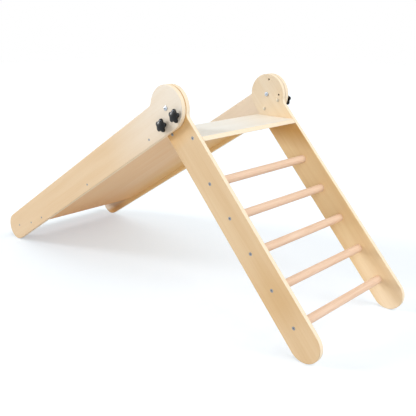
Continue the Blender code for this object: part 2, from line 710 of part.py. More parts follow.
def make_fittings(frame, materials):
    """The threaded nuts and inserts in the rails that take the knobs' studs."""
    bore = STUD_DIAMETER / 2 + RUNNING_GAP
    nut_profile = sleeve_nut_profile(
        LOCK_NUT_HEAD_DIAMETER,
        LOCK_NUT_HEAD_HEIGHT,
        LOCK_NUT_DIAMETER,
        LOCK_NUT_LENGTH,
        LOCK_NUT_FLOOR,
        bore,
    )
    nut_blank = turned("lock_nut_blank", nut_profile, FASTENER_SEGMENTS)
    nut = add_object("lock_nut_blank", nut_blank, None, None)
    reach = LOCK_NUT_HEAD_DIAMETER / 2 + CUT_OVERRUN
    half = LOCK_NUT_SLOT_WIDTH / 2
    slot_outline = [(-half, 0), (half, 0), (half, LOCK_NUT_HEAD_HEIGHT), (-half, LOCK_NUT_HEAD_HEIGHT)]
    slot = extruded("lock_nut_slot", slot_outline, -reach, reach)
    slot_place = Matrix.Translation((0, 0, LOCK_NUT_HEAD_HEIGHT - LOCK_NUT_SLOT_DEPTH))
    cut(nut, "lock_nut_slot", slot, None, slot_place)
    nut_mesh = finished_mesh("lock_nut", nut)
    insert_profile = [
        (bore, 0),
        (INSERT_DIAMETER / 2, 0),
        (INSERT_DIAMETER / 2, -INSERT_LENGTH),
        (bore, -INSERT_LENGTH),
    ]
    insert_mesh = turned("threaded_insert", insert_profile, FASTENER_SEGMENTS, closed=True)
    for side_name, side in SIDES.items():
        for which in KNOB_ANGLES:
            tag = f"{side_name}_{which}"
            x, z = knob_place(which)
            place = facing_in(side, x, RAIL_INNER - SEAT_GAP, z)
            add_object("lock_nut_" + tag, nut_mesh, materials["zinc"], frame, place)
            x, z = knob_place(which, STORED_TURN)
            place = facing_out(side, x, RAIL_OUTER, z)
            add_object("threaded_insert_" + tag, insert_mesh, materials["zinc"], frame, place)


def make_knobs(frame, materials):
    """Four star knobs, backed off until their studs clear the rails and the slide can fold."""
    head_mesh = make_knob_head_mesh()
    flange = STUD_FLANGE_DIAMETER / 2
    shank = STUD_DIAMETER / 2
    tip = STUD_TIP - KNOB_FACE
    stud_profile = [
        (0, STUD_ROOT_DEPTH),
        (flange, STUD_ROOT_DEPTH),
        (flange, STUD_ROOT_DEPTH - STUD_FLANGE_THICKNESS),
        (shank, STUD_ROOT_DEPTH - STUD_FLANGE_THICKNESS),
        (shank, tip + STUD_POINT),
        (shank - STUD_POINT, tip),
        (0, tip),
    ]
    stud_mesh = turned("knob_stud", stud_profile, FASTENER_SEGMENTS)
    for side_name, side in SIDES.items():
        # Turned against the slide's lean: a near knob has one lobe straight up, a far one straight down
        upright = side * SLIDE_LEAN
        for which in KNOB_ANGLES:
            tag = f"{side_name}_{which}"
            x, z = knob_on_slide(which)
            place = facing_out(side, x, KNOB_FACE, z) @ Matrix.Rotation(upright, 4, "Z")
            axis = add_empty("knob_axis_" + tag, frame, place)
            add_object("knob_head_" + tag, head_mesh, materials["knob"], axis)
            add_object("knob_stud_" + tag, stud_mesh, materials["zinc"], axis)


def main():
    for old in list(bpy.data.objects):
        bpy.data.objects.remove(old)
    materials = {
        "rail": make_material("birch_ply_rail", (222, 193, 152), 0.5),
        "panel": make_material("birch_ply_panel", (230, 208, 176), 0.5),
        "step": make_material("birch_ply_step", (240, 230, 212), 0.45),
        "board": make_material("birch_ply_board", (224, 200, 166), 0.4),
        "rung": make_material("beech_rung", (240, 211, 186), 0.5),
        "zinc": make_material("zinc_plated_steel", (196, 198, 202), 0.3, 1.0),
        "nylon": make_material("white_nylon", (236, 236, 232), 0.5),
        "knob": make_material("black_moulded_knob", (26, 26, 28), 0.35),
    }
    level = add_empty("pivot_level", None, Matrix.Translation(PIVOT))
    ladder = add_empty("ladder_frame", level, Matrix.Rotation(LADDER_LEAN, 4, "Y"))
    slide = add_empty("slide_frame", level, Matrix.Rotation(-SLIDE_LEAN, 4, "Y"))
    make_rails(ladder, materials)
    make_rungs(ladder, materials)
    make_step(level, ladder, materials)
    make_ladder_screws(ladder, materials)
    make_pivots(ladder, materials)
    make_fittings(ladder, materials)
    make_panels(slide, materials)
    make_board(slide, materials)
    make_board_screws(slide, materials)
    make_knobs(slide, materials)


main()
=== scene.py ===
import json
import math

import bmesh
import bpy
from mathutils import Matrix, Vector

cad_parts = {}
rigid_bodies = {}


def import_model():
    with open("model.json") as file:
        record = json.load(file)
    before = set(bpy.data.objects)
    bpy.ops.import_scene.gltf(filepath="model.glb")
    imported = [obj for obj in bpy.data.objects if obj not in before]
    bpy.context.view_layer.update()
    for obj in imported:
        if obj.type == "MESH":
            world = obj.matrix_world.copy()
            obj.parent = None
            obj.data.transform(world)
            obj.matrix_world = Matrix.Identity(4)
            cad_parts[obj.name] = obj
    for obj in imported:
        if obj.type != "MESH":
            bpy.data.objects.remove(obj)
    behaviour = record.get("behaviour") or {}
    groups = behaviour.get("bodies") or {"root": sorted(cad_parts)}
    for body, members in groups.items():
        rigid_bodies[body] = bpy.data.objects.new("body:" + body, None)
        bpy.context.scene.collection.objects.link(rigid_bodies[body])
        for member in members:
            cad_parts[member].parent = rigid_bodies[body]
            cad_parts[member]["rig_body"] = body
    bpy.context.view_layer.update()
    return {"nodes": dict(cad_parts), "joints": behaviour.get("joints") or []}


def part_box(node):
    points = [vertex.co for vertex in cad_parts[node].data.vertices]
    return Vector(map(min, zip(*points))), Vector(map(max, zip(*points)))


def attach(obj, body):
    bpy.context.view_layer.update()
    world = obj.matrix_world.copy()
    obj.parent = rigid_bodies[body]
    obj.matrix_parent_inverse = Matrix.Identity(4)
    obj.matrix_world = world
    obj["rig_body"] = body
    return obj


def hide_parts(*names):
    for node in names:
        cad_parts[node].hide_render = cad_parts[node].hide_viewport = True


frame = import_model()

print("frame loaded with", len(frame["nodes"]), "nodes")

sides = {"near": -1, "far": 1}
knobLevels = ("low", "high")
weld = 0.000001  # points closer than this are one
overrun = 0.002  # how far a cutter reaches past the face it opens
seatGap = 0.0003  # between pieces that touch
runningGap = 0.0004  # round a pin that turns in its hole


def middleOf(node):
    low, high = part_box(node)
    return (low + high) / 2


def boxIn(node, place):
    # The lowest and highest corner of a CAD node, as seen from one of the leaning frames
    seen = [place.inverted() @ vertex.co for vertex in frame["nodes"][node].data.vertices]
    low = Vector([min(point[axis] for point in seen) for axis in range(3)])
    high = Vector([max(point[axis] for point in seen) for axis in range(3)])
    return low, high


# Two leaning frames share the pivot as their origin. +X runs down the ladder, -X down the slide.
pivot = Vector(next(joint for joint in frame["joints"] if joint["name"] == "slide_fold")["pos_m"])
rungLine = middleOf("rung_5") - middleOf("rung_1")
boardLine = middleOf("board_screw_near_2") - middleOf("board_screw_near_1")
ladderLean = math.atan2(-rungLine.z, rungLine.x)
slideLean = math.atan2(boardLine.z, -boardLine.x)
levelPlace = Matrix.Translation(pivot)
ladderPlace = levelPlace @ Matrix.Rotation(ladderLean, 4, "Y")
slidePlace = levelPlace @ Matrix.Rotation(slideLean, 4, "Y")
railInner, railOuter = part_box("ladder_rail_far")[0].y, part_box("ladder_rail_far")[1].y
panelInner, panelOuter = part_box("slide_panel_far")[0].y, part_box("slide_panel_far")[1].y


# Shader helpers

def hexColour(text):
    # An sRGB hex value turned to linear
    channels = []
    for start in (1, 3, 5):
        share = int(text[start:start + 2], 16) / 255
        channels.append(share / 12.92 if share <= 0.04045 else ((share + 0.055) / 1.055) ** 2.4)
    return (*channels, 1.0)


def addNode(tree, kind, inputs=None, **settings):
    # One node with its settings and its inputs, each a value or another node's output
    node = tree.nodes.new("ShaderNode" + kind)
    for name, value in settings.items():
        setattr(node, name, value)
    for socket, value in (inputs or {}).items():
        if isinstance(value, bpy.types.NodeSocket):
            tree.links.new(value, node.inputs[socket])
        else:
            node.inputs[socket].default_value = value
    return node


def newMaterial(name, **sockets):
    # A Principled material. What is the same all over is set on the shader itself.
    material = bpy.data.materials.new(name)
    material.use_nodes = True
    shader = material.node_tree.nodes["Principled BSDF"]
    for socket, value in sockets.items():
        shader.inputs[socket.replace("_", " ")].default_value = value
    return material, material.node_tree, shader


# Birch plywood, sanded and sprayed with clear matt lacquer: pale faces with a broad figure, streaks
# and small flecks, and stripes of side grain and end grain wherever the stack of veneers is cut
birch = {
    "figureWidth": 0.034,
    "figureLength": 0.450,
    "figureDetail": 2.0,
    "streakWidth": 0.005,  # real streaks are 0.5 to 1 mm wide, drawn coarser so that they show
    "streakLength": 0.180,
    "streakDetail": 4.0,
    "streakDepth": 0.30,
    "fleckWidth": 0.0008,
    "fleckLength": 0.007,
    "fleckDetail": 1.0,
    "fleckDepth": 0.22,
    "fleck": "#B98F62",
    "waver": 0.3,
    "sideGrain": "#F6EAD2",
    "endGrain": "#EDDABA",
    "glue": "#D8B27C",
    "glueDepth": 0.35,
    "glueWidth": 0.22,
    "stripeBlur": 0.15,
    "sanded": 0.15,  # the share of each outer veneer that sanding has taken
    "faceDepth": 0.6,  # the outer share of that veneer that is all face, no stripe
    "gloss": 0.22,
    "smoothest": 0.45,
    "roughest": 0.56,
    "relief": 0.0004,
    "reliefStrength": 0.3,
}


def grainNoise(tree, local, grainAxis):
    # Three noises stretched along the grain
    noise = {}
    for part in ("figure", "streak", "fleck"):
        long, wide = 1 / birch[part + "Length"], 1 / birch[part + "Width"]
        scale = (long, wide, wide) if grainAxis == "X" else (wide, long, wide)
        stretched = addNode(tree, "Mapping", {"Vector": local, "Scale": scale}).outputs[0]
        noise[part] = addNode(tree, "TexNoise", {
            "Vector": stretched,
            "Scale": 1.0,
            "Detail": birch[part + "Detail"],
            "Distortion": birch["waver"],
        }).outputs["Fac"]
    return noise


def veneerFace(tree, tones, noise, ways):
    # The outer veneer: its tone changes with painted shade and painted light, then figure, streaks
    # and flecks mark that tone
    face = hexColour(tones["face"])
    for way, start, end, colour in tones["drift"]:
        drift = addNode(tree, "MapRange", {"Value": ways[way], "From Min": start, "From Max": end})
        face = addNode(tree, "Mix", {
            0: drift.outputs[0], 6: face, 7: hexColour(colour)
        }, data_type="RGBA").outputs[2]
    figure = addNode(tree, "MapRange", {
        "Value": noise["figure"], "From Min": 0.35, "From Max": 0.65
    })
    streak = addNode(tree, "MapRange", {
        "Value": noise["streak"], "From Min": 0.30, "From Max": 0.70, "To Max": birch["streakDepth"]
    })
    for share, shade in ((figure, "pale"), (streak, "dark")):
        change = [new / old for new, old in zip(hexColour(tones[shade]), hexColour(tones["face"]))]
        face = addNode(tree, "Mix", {
            0: share.outputs[0], 6: face, 7: change
        }, data_type="RGBA", blend_type="MULTIPLY").outputs[2]
    fleck = addNode(tree, "MapRange", {
        "Value": noise["fleck"], "From Min": 0.70, "From Max": 0.80, "To Max": birch["fleckDepth"]
    })
    return addNode(tree, "Mix", {
        0: fleck.outputs[0], 6: face, 7: hexColour(birch["fleck"])
    }, data_type="RGBA").outputs[2]


def veneerStack(tree, depth, thickness, plies):
    # Side grain and end grain in turn, with a thin glue line wherever they change
    sanded, blur = birch["sanded"], birch["stripeBlur"]
    turn = {0: depth, 1: math.pi * (plies - 2 * sanded) / thickness, 2: math.pi * sanded}
    phase = addNode(tree, "Math", turn, operation="MULTIPLY_ADD").outputs[0]
    wave = addNode(tree, "Math", {0: phase}, operation="SINE").outputs[0]
    side = addNode(tree, "MapRange", {"Value": wave, "From Min": -blur, "From Max": blur})
    fromGlue = addNode(tree, "Math", {0: wave}, operation="ABSOLUTE").outputs[0]
    glue = addNode(tree, "MapRange", {
        "Value": fromGlue,
        "From Max": birch["glueWidth"],
        "To Min": birch["glueDepth"],
        "To Max": 0.0,
    })
    stack = addNode(tree, "Mix", {
        0: side.outputs[0], 6: hexColour(birch["endGrain"]), 7: hexColour(birch["sideGrain"])
    }, data_type="RGBA")
    return addNode(tree, "Mix", {
        0: glue.outputs[0], 6: stack.outputs[2], 7: hexColour(birch["glue"])
    }, data_type="RGBA").outputs[2]


def plyDepth(tree, point, axis, start):
    # How deep a point lies in its plank. A pair of planks mirrors about the middle, so it is
    # counted from either side. The bent slide board carries its own depth instead.
    if not axis:
        return addNode(tree, "Attribute", attribute_name="plyDepth").outputs["Fac"]
    where = addNode(tree, "SeparateXYZ", {0: point}).outputs[axis]
    size = addNode(tree, "Math", {0: where}, operation="ABSOLUTE").outputs[0]
    return addNode(tree, "Math", {0: size, 1: start}, operation="SUBTRACT").outputs[0]


def birchPly(name, place, tones, thickness, plies, depthAxis=None, depthStart=0.0, grainAxis="X"):
    gloss = tones.get("gloss", birch["gloss"])
    material, tree, shader = newMaterial(name, IOR=1.5, Specular_IOR_Level=gloss)
    point = addNode(tree, "TexCoord").outputs["Object"]
    turned = {"Vector": point, "Location": place.to_translation(), "Rotation": place.to_euler()}
    local = addNode(tree, "Mapping", turned, vector_type="TEXTURE").outputs[0]
    noise = grainNoise(tree, local, grainAxis)
    depth = plyDepth(tree, point, depthAxis, depthStart)
    inPlank = addNode(tree, "SeparateXYZ", {0: local}).outputs
    # The room's Y and Z let painted shade follow the board's far side and the step's underside
    inRoom = addNode(tree, "SeparateXYZ", {0: point}).outputs
    face = veneerFace(tree, tones, noise, {
        "along": inPlank[grainAxis],
        "rise": inPlank["Z"],
        "across": inRoom["Y"],
        "level": inRoom["Z"],
        "depth": depth,
    })
    # Only the outermost veneer shows as a face, the others as stripes
    half, veneer = thickness / 2, thickness / plies
    offset = addNode(tree, "Math", {0: depth, 1: half}, operation="SUBTRACT").outputs[0]
    fromMiddle = addNode(tree, "Math", {0: offset}, operation="ABSOLUTE").outputs[0]
    faceShare = addNode(tree, "MapRange", {
        "Value": fromMiddle,
        "From Min": half - veneer,
        "From Max": half - veneer * birch["faceDepth"],
    })
    colour = addNode(tree, "Mix", {
        0: faceShare.outputs[0], 6: veneerStack(tree, depth, thickness, plies), 7: face
    }, data_type="RGBA")
    tree.links.new(colour.outputs[2], shader.inputs["Base Color"])
    rough = addNode(tree, "MapRange", {
        "Value": noise["streak"],
        "From Min": 0.2,
        "From Max": 0.8,
        "To Min": birch["smoothest"],
        "To Max": birch["roughest"],
    })
    tree.links.new(rough.outputs[0], shader.inputs["Roughness"])
    relief = addNode(tree, "Bump", {
        "Height": noise["streak"], "Strength": birch["reliefStrength"], "Distance": birch["relief"]
    })
    tree.links.new(relief.outputs[0], shader.inputs["Normal"])
    return material


# Steamed beech dowel, turned and oiled: pinker than birch, with short dark ray flecks
beech = {
    "base": "#E1BFA2",
    "pale": "#EACFB6",
    "dark": "#CDA283",
    "streakWidth": 0.003,  # drawn coarser than the real 1 mm streaks so that they show
    "streakLength": 0.090,
    "rayWidth": 0.0009,
    "rayLength": 0.0045,
    "rayDepth": 0.35,
    "detail": 3.0,
    "gloss": 0.25,
    "smoothest": 0.42,
    "roughest": 0.51,
    "relief": 0.0003,
    "reliefStrength": 0.2,
}


def beechDowel():
    look = beech
    material, tree, shader = newMaterial("oiledBeech", IOR=1.5, Specular_IOR_Level=look["gloss"])
    point = addNode(tree, "TexCoord").outputs["Object"]
    noise = {}
    for part in ("streak", "ray"):
        wide = 1 / look[part + "Width"]
        stretched = {"Vector": point, "Scale": (wide, 1 / look[part + "Length"], wide)}
        vector = addNode(tree, "Mapping", stretched).outputs[0]
        settings = {"Vector": vector, "Scale": 1.0, "Detail": look["detail"]}
        noise[part] = addNode(tree, "TexNoise", settings).outputs["Fac"]
    tone = addNode(tree, "MapRange", {"Value": noise["streak"], "From Min": 0.3, "From Max": 0.7})
    rays = addNode(tree, "MapRange", {
        "Value": noise["ray"], "From Min": 0.60, "From Max": 0.72, "To Max": look["rayDepth"]
    })
    colour = addNode(tree, "Mix", {
        0: tone.outputs[0], 6: hexColour(look["base"]), 7: hexColour(look["pale"])
    }, data_type="RGBA")
    colour = addNode(tree, "Mix", {
        0: rays.outputs[0], 6: colour.outputs[2], 7: hexColour(look["dark"])
    }, data_type="RGBA")
    tree.links.new(colour.outputs[2], shader.inputs["Base Color"])
    rough = addNode(tree, "MapRange", {
        "Value": noise["ray"],
        "From Min": 0.3,
        "From Max": 0.7,
        "To Min": look["smoothest"],
        "To Max": look["roughest"],
    })
    tree.links.new(rough.outputs[0], shader.inputs["Roughness"])
    relief = addNode(tree, "Bump", {
        "Height": noise["ray"], "Strength": look["reliefStrength"], "Distance": look["relief"]
    })
    tree.links.new(relief.outputs[0], shader.inputs["Normal"])
    return material


# Zinc plating on turned steel, with faint smears in its gloss: bright on the pivots and studs,
# greyer on the screws, warm and satin on the lock nuts. The inserts are near black: painted shade
# for the dark down in their holes.
zincSmears = {
    "size": 0.0025,
    "detail": 4.0,
    "spread": 0.08,
    "relief": 0.0001,
    "reliefStrength": 0.15,
}
zincFinishes = {
    "zinc": {"name": "brightZinc", "base": "#A6ADB5", "pale": "#D3D7DC", "roughness": 0.26},
    "screw": {"name": "greyZinc", "base": "#85878A", "pale": "#ADAFB2", "roughness": 0.34},
    "lockNut": {"name": "satinZinc", "base": "#BBB09C", "pale": "#C8BDA8", "roughness": 0.42},
    # Near black: painted shade of the holes that the inserts sit in
    "insert": {"name": "paintedHoleShadeZinc", "base": "#140E0A", "pale": "#211813", "roughness": 0.45},
}


def zincPlate(finish):
    material, tree, shader = newMaterial(finish["name"], Metallic=1.0)
    point = addNode(tree, "TexCoord").outputs["Object"]
    smears = addNode(tree, "TexNoise", {
        "Vector": point, "Scale": 1 / zincSmears["size"], "Detail": zincSmears["detail"]
    }).outputs["Fac"]
    colour = addNode(tree, "Mix", {
        0: smears, 6: hexColour(finish["base"]), 7: hexColour(finish["pale"])
    }, data_type="RGBA")
    tree.links.new(colour.outputs[2], shader.inputs["Base Color"])
    rough = addNode(tree, "MapRange", {
        "Value": smears,
        "To Min": finish["roughness"] - zincSmears["spread"],
        "To Max": finish["roughness"] + zincSmears["spread"],
    })
    tree.links.new(rough.outputs[0], shader.inputs["Roughness"])
    relief = addNode(tree, "Bump", {
        "Height": smears, "Strength": zincSmears["reliefStrength"], "Distance": zincSmears["relief"]
    })
    tree.links.new(relief.outputs[0], shader.inputs["Normal"])
    return material


# Glass-filled nylon from a spark-eroded mould: near black, satin, with a fine even grain that
# handling has polished in patches
mouldedBlack = {
    "base": "#080809",
    "worn": "#111113",
    "wear": 0.6,
    "patchesPerMetre": 90.0,
    "gloss": 0.28,
    "smoothest": 0.18,
    "roughest": 0.32,
    "grainSize": 0.0006,
    "relief": 0.0001,
    "reliefStrength": 0.08,
}


def mouldedPlastic():
    look = mouldedBlack
    material, tree, shader = newMaterial(
        "mouldedBlackNylon", IOR=1.5, Specular_IOR_Level=look["gloss"]
    )
    point = addNode(tree, "TexCoord").outputs["Object"]
    grain = addNode(tree, "TexNoise", {
        "Vector": point, "Scale": 1 / look["grainSize"], "Detail": 2.0
    }).outputs["Fac"]
    handling = addNode(tree, "TexNoise", {
        "Vector": point, "Scale": look["patchesPerMetre"], "Detail": 3.0
    }).outputs["Fac"]
    wornShare = addNode(tree, "MapRange", {
        "Value": handling, "From Min": 0.4, "From Max": 0.75, "To Max": look["wear"]
    })
    colour = addNode(tree, "Mix", {
        0: wornShare.outputs[0], 6: hexColour(look["base"]), 7: hexColour(look["worn"])
    }, data_type="RGBA")
    tree.links.new(colour.outputs[2], shader.inputs["Base Color"])
    rough = addNode(tree, "MapRange", {
        "Value": handling, "To Min": look["smoothest"], "To Max": look["roughest"]
    })
    tree.links.new(rough.outputs[0], shader.inputs["Roughness"])
    relief = addNode(tree, "Bump", {
        "Height": grain, "Strength": look["reliefStrength"], "Distance": look["relief"]
    })
    tree.links.new(relief.outputs[0], shader.inputs["Normal"])
    return material


# Natural nylon sheet, stamped into washers: milky and faintly cloudy
nylonSheet = {"base": "#E2DECF", "pale": "#EFEDE4", "cloudsPerMetre": 260.0, "roughness": 0.5}


def naturalNylon():
    look = nylonSheet
    material, tree, shader = newMaterial("naturalNylon", IOR=1.53, Roughness=look["roughness"])
    point = addNode(tree, "TexCoord").outputs["Object"]
    cloud = addNode(tree, "TexNoise", {
        "Vector": point, "Scale": look["cloudsPerMetre"], "Detail": 3.0
    })
    colour = addNode(tree, "Mix", {
        0: cloud.outputs["Fac"], 6: hexColour(look["base"]), 7: hexColour(look["pale"])
    }, data_type="RGBA")
    tree.links.new(colour.outputs[2], shader.inputs["Base Color"])
    return material


# Each plank's veneer: the face, its paler figure and darker streaks, then changes of tone, most of
# them painted shade and painted light for how light falls on the plank. A change runs along the
# grain, by rise in the leaning frame, across the part, by level above the floor, or by depth in the
# plank: where it starts, where it is full, and the tone there. The last change of a rail, panel or
# board gives one plain tone to the face that the main view hides.
veneers = {
    "railNear": {
        "face": "#D6B88F",
        "pale": "#DCC19A",
        "dark": "#CBA97C",
        "drift": (
            # Golden towards the head: painted shade where the slide's round head shades the rail
            ("along", 0.115, 0.06, "#D9AE72"),
            ("along", 0.45, 0.58, "#D0AE80"),
            ("along", 0.62, 0.70, "#D6B88F"),
            ("depth", 0.010, 0.005, "#E0C9A4"),
        ),
    },
    "railFar": {
        "face": "#E2C69C",
        "pale": "#E9D1AC",
        "dark": "#D6B586",
        "drift": (
            ("along", 0.12, 0.00, "#D9C6A8"),
            # Painted shade below the step: deep gold just under it, lighter gold lower down, paler
            # towards the foot
            ("level", 0.530, 0.515, "#D0A05E"),
            ("level", 0.50, 0.44, "#F0D09C"),
            ("along", 0.50, 0.80, "#E5CCA8"),
            ("depth", 0.005, 0.010, "#E8D2AE"),
        ),
    },
    "panelFar": {
        # The golden face and the darker foot are painted shade on the strip under the board; above
        # the board the tone turns plainer
        "face": "#F6D79C",
        "pale": "#FBDDA5",
        "dark": "#E9CA90",
        "drift": (
            ("along", -0.93, -1.02, "#C8995C"),
            ("rise", -0.050, -0.035, "#DBCAB1"),
            ("depth", 0.005, 0.010, "#E8D4B2"),
        ),
    },
    "panelNear": {
        "face": "#DCBF98",
        "pale": "#DFC5A1",
        "dark": "#D4B488",
        "drift": (
            # Paler and cooler towards the round head: painted light
            ("along", -0.32, 0.06, "#E7DCCA"),
            ("depth", 0.010, 0.005, "#E0CBA8"),
        ),
    },
    "step": {
        # The near-white cool face is partly the step's own paler birch and partly a painted sheen
        # on its lit top; the warmer tone towards +X is painted light
        "face": "#E4E2D9",
        "pale": "#E5E5DE",
        "dark": "#D8D5C9",
        "drift": (("along", -0.10, 0.25, "#F0E5D3"),),
    },
    "board": {
        # The face and the first two changes are painted warm shade on the underside, more golden
        # towards the far side and the foot; the top gets one plain tone
        "face": "#EECEA5",
        "pale": "#F0D4B0",
        "dark": "#E6C193",
        "drift": (
            ("across", 0.04, 0.18, "#E6BF82"),
            ("along", -0.60, -1.00, "#F2BF84"),
            ("depth", 0.008, 0.004, "#D9C4A2"),
        ),
        "gloss": 0.05,
    },
}
stepLow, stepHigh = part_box("step_board")
railPly = {
    "thickness": railOuter - railInner, "plies": 11, "depthAxis": "Y", "depthStart": railInner
}
panelPly = {
    "thickness": panelOuter - panelInner, "plies": 11, "depthAxis": "Y", "depthStart": panelInner
}
stepPly = {
    "thickness": stepHigh.z - stepLow.z,
    "plies": 9,
    "depthAxis": "Z",
    "depthStart": stepLow.z,
    "grainAxis": "Y",
}
boardPly = {"thickness": 0.012, "plies": 9}
materials = {
    "railNear": birchPly("lacqueredBirchNearRail", ladderPlace, veneers["railNear"], **railPly),
    "railFar": birchPly("lacqueredBirchFarRail", ladderPlace, veneers["railFar"], **railPly),
    "panelNear": birchPly("lacqueredBirchNearPanel", slidePlace, veneers["panelNear"], **panelPly),
    "panelFar": birchPly("lacqueredBirchFarPanel", slidePlace, veneers["panelFar"], **panelPly),
    "step": birchPly("lacqueredBirchStep", levelPlace, veneers["step"], **stepPly),
    "board": birchPly("lacqueredBirchBoard", slidePlace, veneers["board"], **boardPly),
    "rung": beechDowel(),
    "nylon": naturalNylon(),
    "knob": mouldedPlastic(),
}
for use, finish in zincFinishes.items():
    materials[use] = zincPlate(finish)
print("materials made:", len(materials))


# Mesh helpers

def tracePath(bm, start, moves):
    # Draws in the XZ plane from one point: ("line", x, z) or ("arc", centreX, centreZ, turn, steps)
    tip = bm.verts.new((start[0], 0, start[1]))
    for kind, *values in moves:
        if kind == "line":
            tip = bmesh.ops.extrude_vert_indiv(bm, verts=[tip])["verts"][0]
            tip.co = (values[0], 0, values[1])
        else:
            x, z, turn, steps = values
            swept = bmesh.ops.spin(
                bm, geom=[tip], cent=(x, 0, z), axis=(0, -1, 0), angle=turn, steps=steps
            )
            tip = next(item for item in swept["geom_last"] if isinstance(item, bmesh.types.BMVert))


def flatFace(bm):
    # Closes a traced outline and fills it
    bmesh.ops.remove_doubles(bm, verts=bm.verts, dist=weld * 10)
    return bmesh.ops.contextual_create(bm, geom=bm.edges)["faces"][0]


def pulled(bm, face):
    # Extrudes a face in place, and returns the new face's points and the face
    grown = bmesh.ops.extrude_face_region(bm, geom=[face])["geom"]
    points = [item for item in grown if isinstance(item, bmesh.types.BMVert)]
    return points, next(item for item in grown if isinstance(item, bmesh.types.BMFace))


def thicken(bm, face, low, high):
    # Gives a face in the XZ plane its thickness along Y, and returns its two rims
    bmesh.ops.translate(bm, verts=bm.verts, vec=(0, low, 0))
    rims = list(face.edges)
    farPoints, farFace = pulled(bm, face)
    bmesh.ops.translate(bm, verts=farPoints, vec=(0, high - low, 0))
    return rims, list(farFace.edges)


def roundEdges(bm, edges, width, steps):
    bmesh.ops.bevel(
        bm,
        geom=edges,
        offset=width,
        affect="EDGES",
        segments=steps,
        profile=0.5,
        material=-1,
        clamp_overlap=True,
    )


def spun(start, moves, steps, closed=False):
    # A turned solid about Z. An open path starts and ends on the axis.
    bm = bmesh.new()
    tracePath(bm, start, moves)
    if closed:
        bmesh.ops.remove_doubles(bm, verts=bm.verts, dist=weld * 10)
    bmesh.ops.spin(
        bm,
        geom=bm.verts[:] + bm.edges[:],
        cent=(0, 0, 0),
        axis=(0, 0, 1),
        angle=2 * math.pi,
        steps=steps,
        use_merge=True,
    )
    bmesh.ops.remove_doubles(bm, verts=bm.verts, dist=weld)
    bmesh.ops.recalc_face_normals(bm, faces=bm.faces)
    return bm


def meshOf(bm, name, sharp=30):
    bmesh.ops.recalc_face_normals(bm, faces=bm.faces)
    mesh = bpy.data.meshes.new(name)
    bm.to_mesh(mesh)
    bm.free()
    mesh.shade_smooth()
    mesh.set_sharp_from_angle(angle=math.radians(sharp))
    return mesh


def joined(name, placedMeshes):
    # One mesh from several, each moved by its own matrix
    bm = bmesh.new()
    for mesh, place in placedMeshes:
        before = len(bm.verts)
        bm.from_mesh(mesh)
        bm.verts.ensure_lookup_table()
        bmesh.ops.transform(bm, matrix=place, verts=bm.verts[before:])
    return meshOf(bm, name)


def carved(mesh, tools, operation="DIFFERENCE", sharp=30):
    # The mesh with the tool mesh cut away, or joined on
    blank = bpy.data.objects.new(mesh.name, mesh)
    tool = bpy.data.objects.new(mesh.name + "Tool", tools)
    for helper in (blank, tool):
        bpy.context.scene.collection.objects.link(helper)
    cut = blank.modifiers.new("cut", "BOOLEAN")
    cut.operation = operation
    cut.object = tool
    graph = bpy.context.evaluated_depsgraph_get()
    result = bpy.data.meshes.new_from_object(blank.evaluated_get(graph))
    for helper in (blank, tool):
        bpy.data.objects.remove(helper)
    result.shade_smooth()
    result.set_sharp_from_angle(angle=math.radians(sharp))
    return result


def facing(side, point, distance, inwards=False):
    # Places a fastener whose own +Z points out of that side, or in towards the middle
    turn = side * math.pi / 2 * (1 if inwards else -1)
    return Matrix.Translation((point.x, side * distance, point.z)) @ Matrix.Rotation(turn, 4, "X")


def standIn(node, mesh, material, place=None):
    # A finished piece takes over a CAD node and rides on the same body
    words = node.split("_")
    name = words[0] + "".join(word.capitalize() for word in words[1:])
    own = mesh.copy()
    own.name = name
    if place is not None:
        own.transform(place)
    own.materials.clear()
    own.materials.append(materials[material])
    piece = bpy.data.objects.new(name, own)
    bpy.context.scene.collection.objects.link(piece)
    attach(piece, frame["nodes"][node]["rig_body"])
    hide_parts(node)
    return piece


# Countersunk screws: the flat head with its hexagon socket, the shank and a helical thread
furnitureScrew = {
    "length": 0.050,
    "shank": 0.0025,
    "head": 0.005,
    "rim": 0.001,
    "point": 0.005,
    "socketWidth": 0.004,
    "socketDepth": 0.0022,
    "pitch": 0.0018,
    "threadStart": -0.015,
    "coreShare": 0.72,
    "threadSteps": 20,
    "steps": 40,
}
boardScrew = {
    "length": 0.038,
    "shank": 0.00175,
    "head": 0.0035,
    "rim": 0.0005,
    "point": 0.004,
    "socketWidth": 0.0025,
    "socketDepth": 0.0015,
    "pitch": 0.0015,
    "threadStart": -0.014,
    "coreShare": 0.72,
    "threadSteps": 20,
    "steps": 32,
}
ridge = {"foot": 0.4, "crest": 0.06}  # half a thread's width, in shares of its pitch
screwSink = 0.95  # a ridge starts this far out in its core, so that the two overlap
boltSink = 0.97


def socketCutter(width, depth, top=0.0):
    bm = bmesh.new()
    bmesh.ops.create_cone(
        bm,
        cap_ends=True,
        segments=6,
        radius1=width / math.sqrt(3),
        radius2=width / math.sqrt(3),
        depth=depth + overrun,
    )
    bmesh.ops.translate(bm, verts=bm.verts, vec=(0, 0, top + (overrun - depth) / 2))
    return meshOf(bm, "socketCutter")


def helix(core, outer, pitch, low, high, steps):
    # A thread's ridge: a small section swept up the helix, with both its ends closed
    bm = bmesh.new()
    half = pitch * ridge["foot"]
    crest = pitch * ridge["crest"]
    tracePath(bm, (core, low - half), [
        ("line", outer, low - crest),
        ("line", outer, low + crest),
        ("line", core, low + half),
        ("line", core, low - half),
    ])
    bmesh.ops.remove_doubles(bm, verts=bm.verts, dist=weld * 10)
    turns = (high - low) / pitch
    bmesh.ops.spin(
        bm,
        geom=bm.verts[:] + bm.edges[:],
        cent=(0, 0, 0),
        axis=(0, 0, 1),
        dvec=(0, 0, pitch / steps),
        angle=2 * math.pi * turns,
        steps=round(steps * turns),
    )
    bmesh.ops.holes_fill(bm, edges=[edge for edge in bm.edges if edge.is_boundary], sides=0)
    return meshOf(bm, "thread")


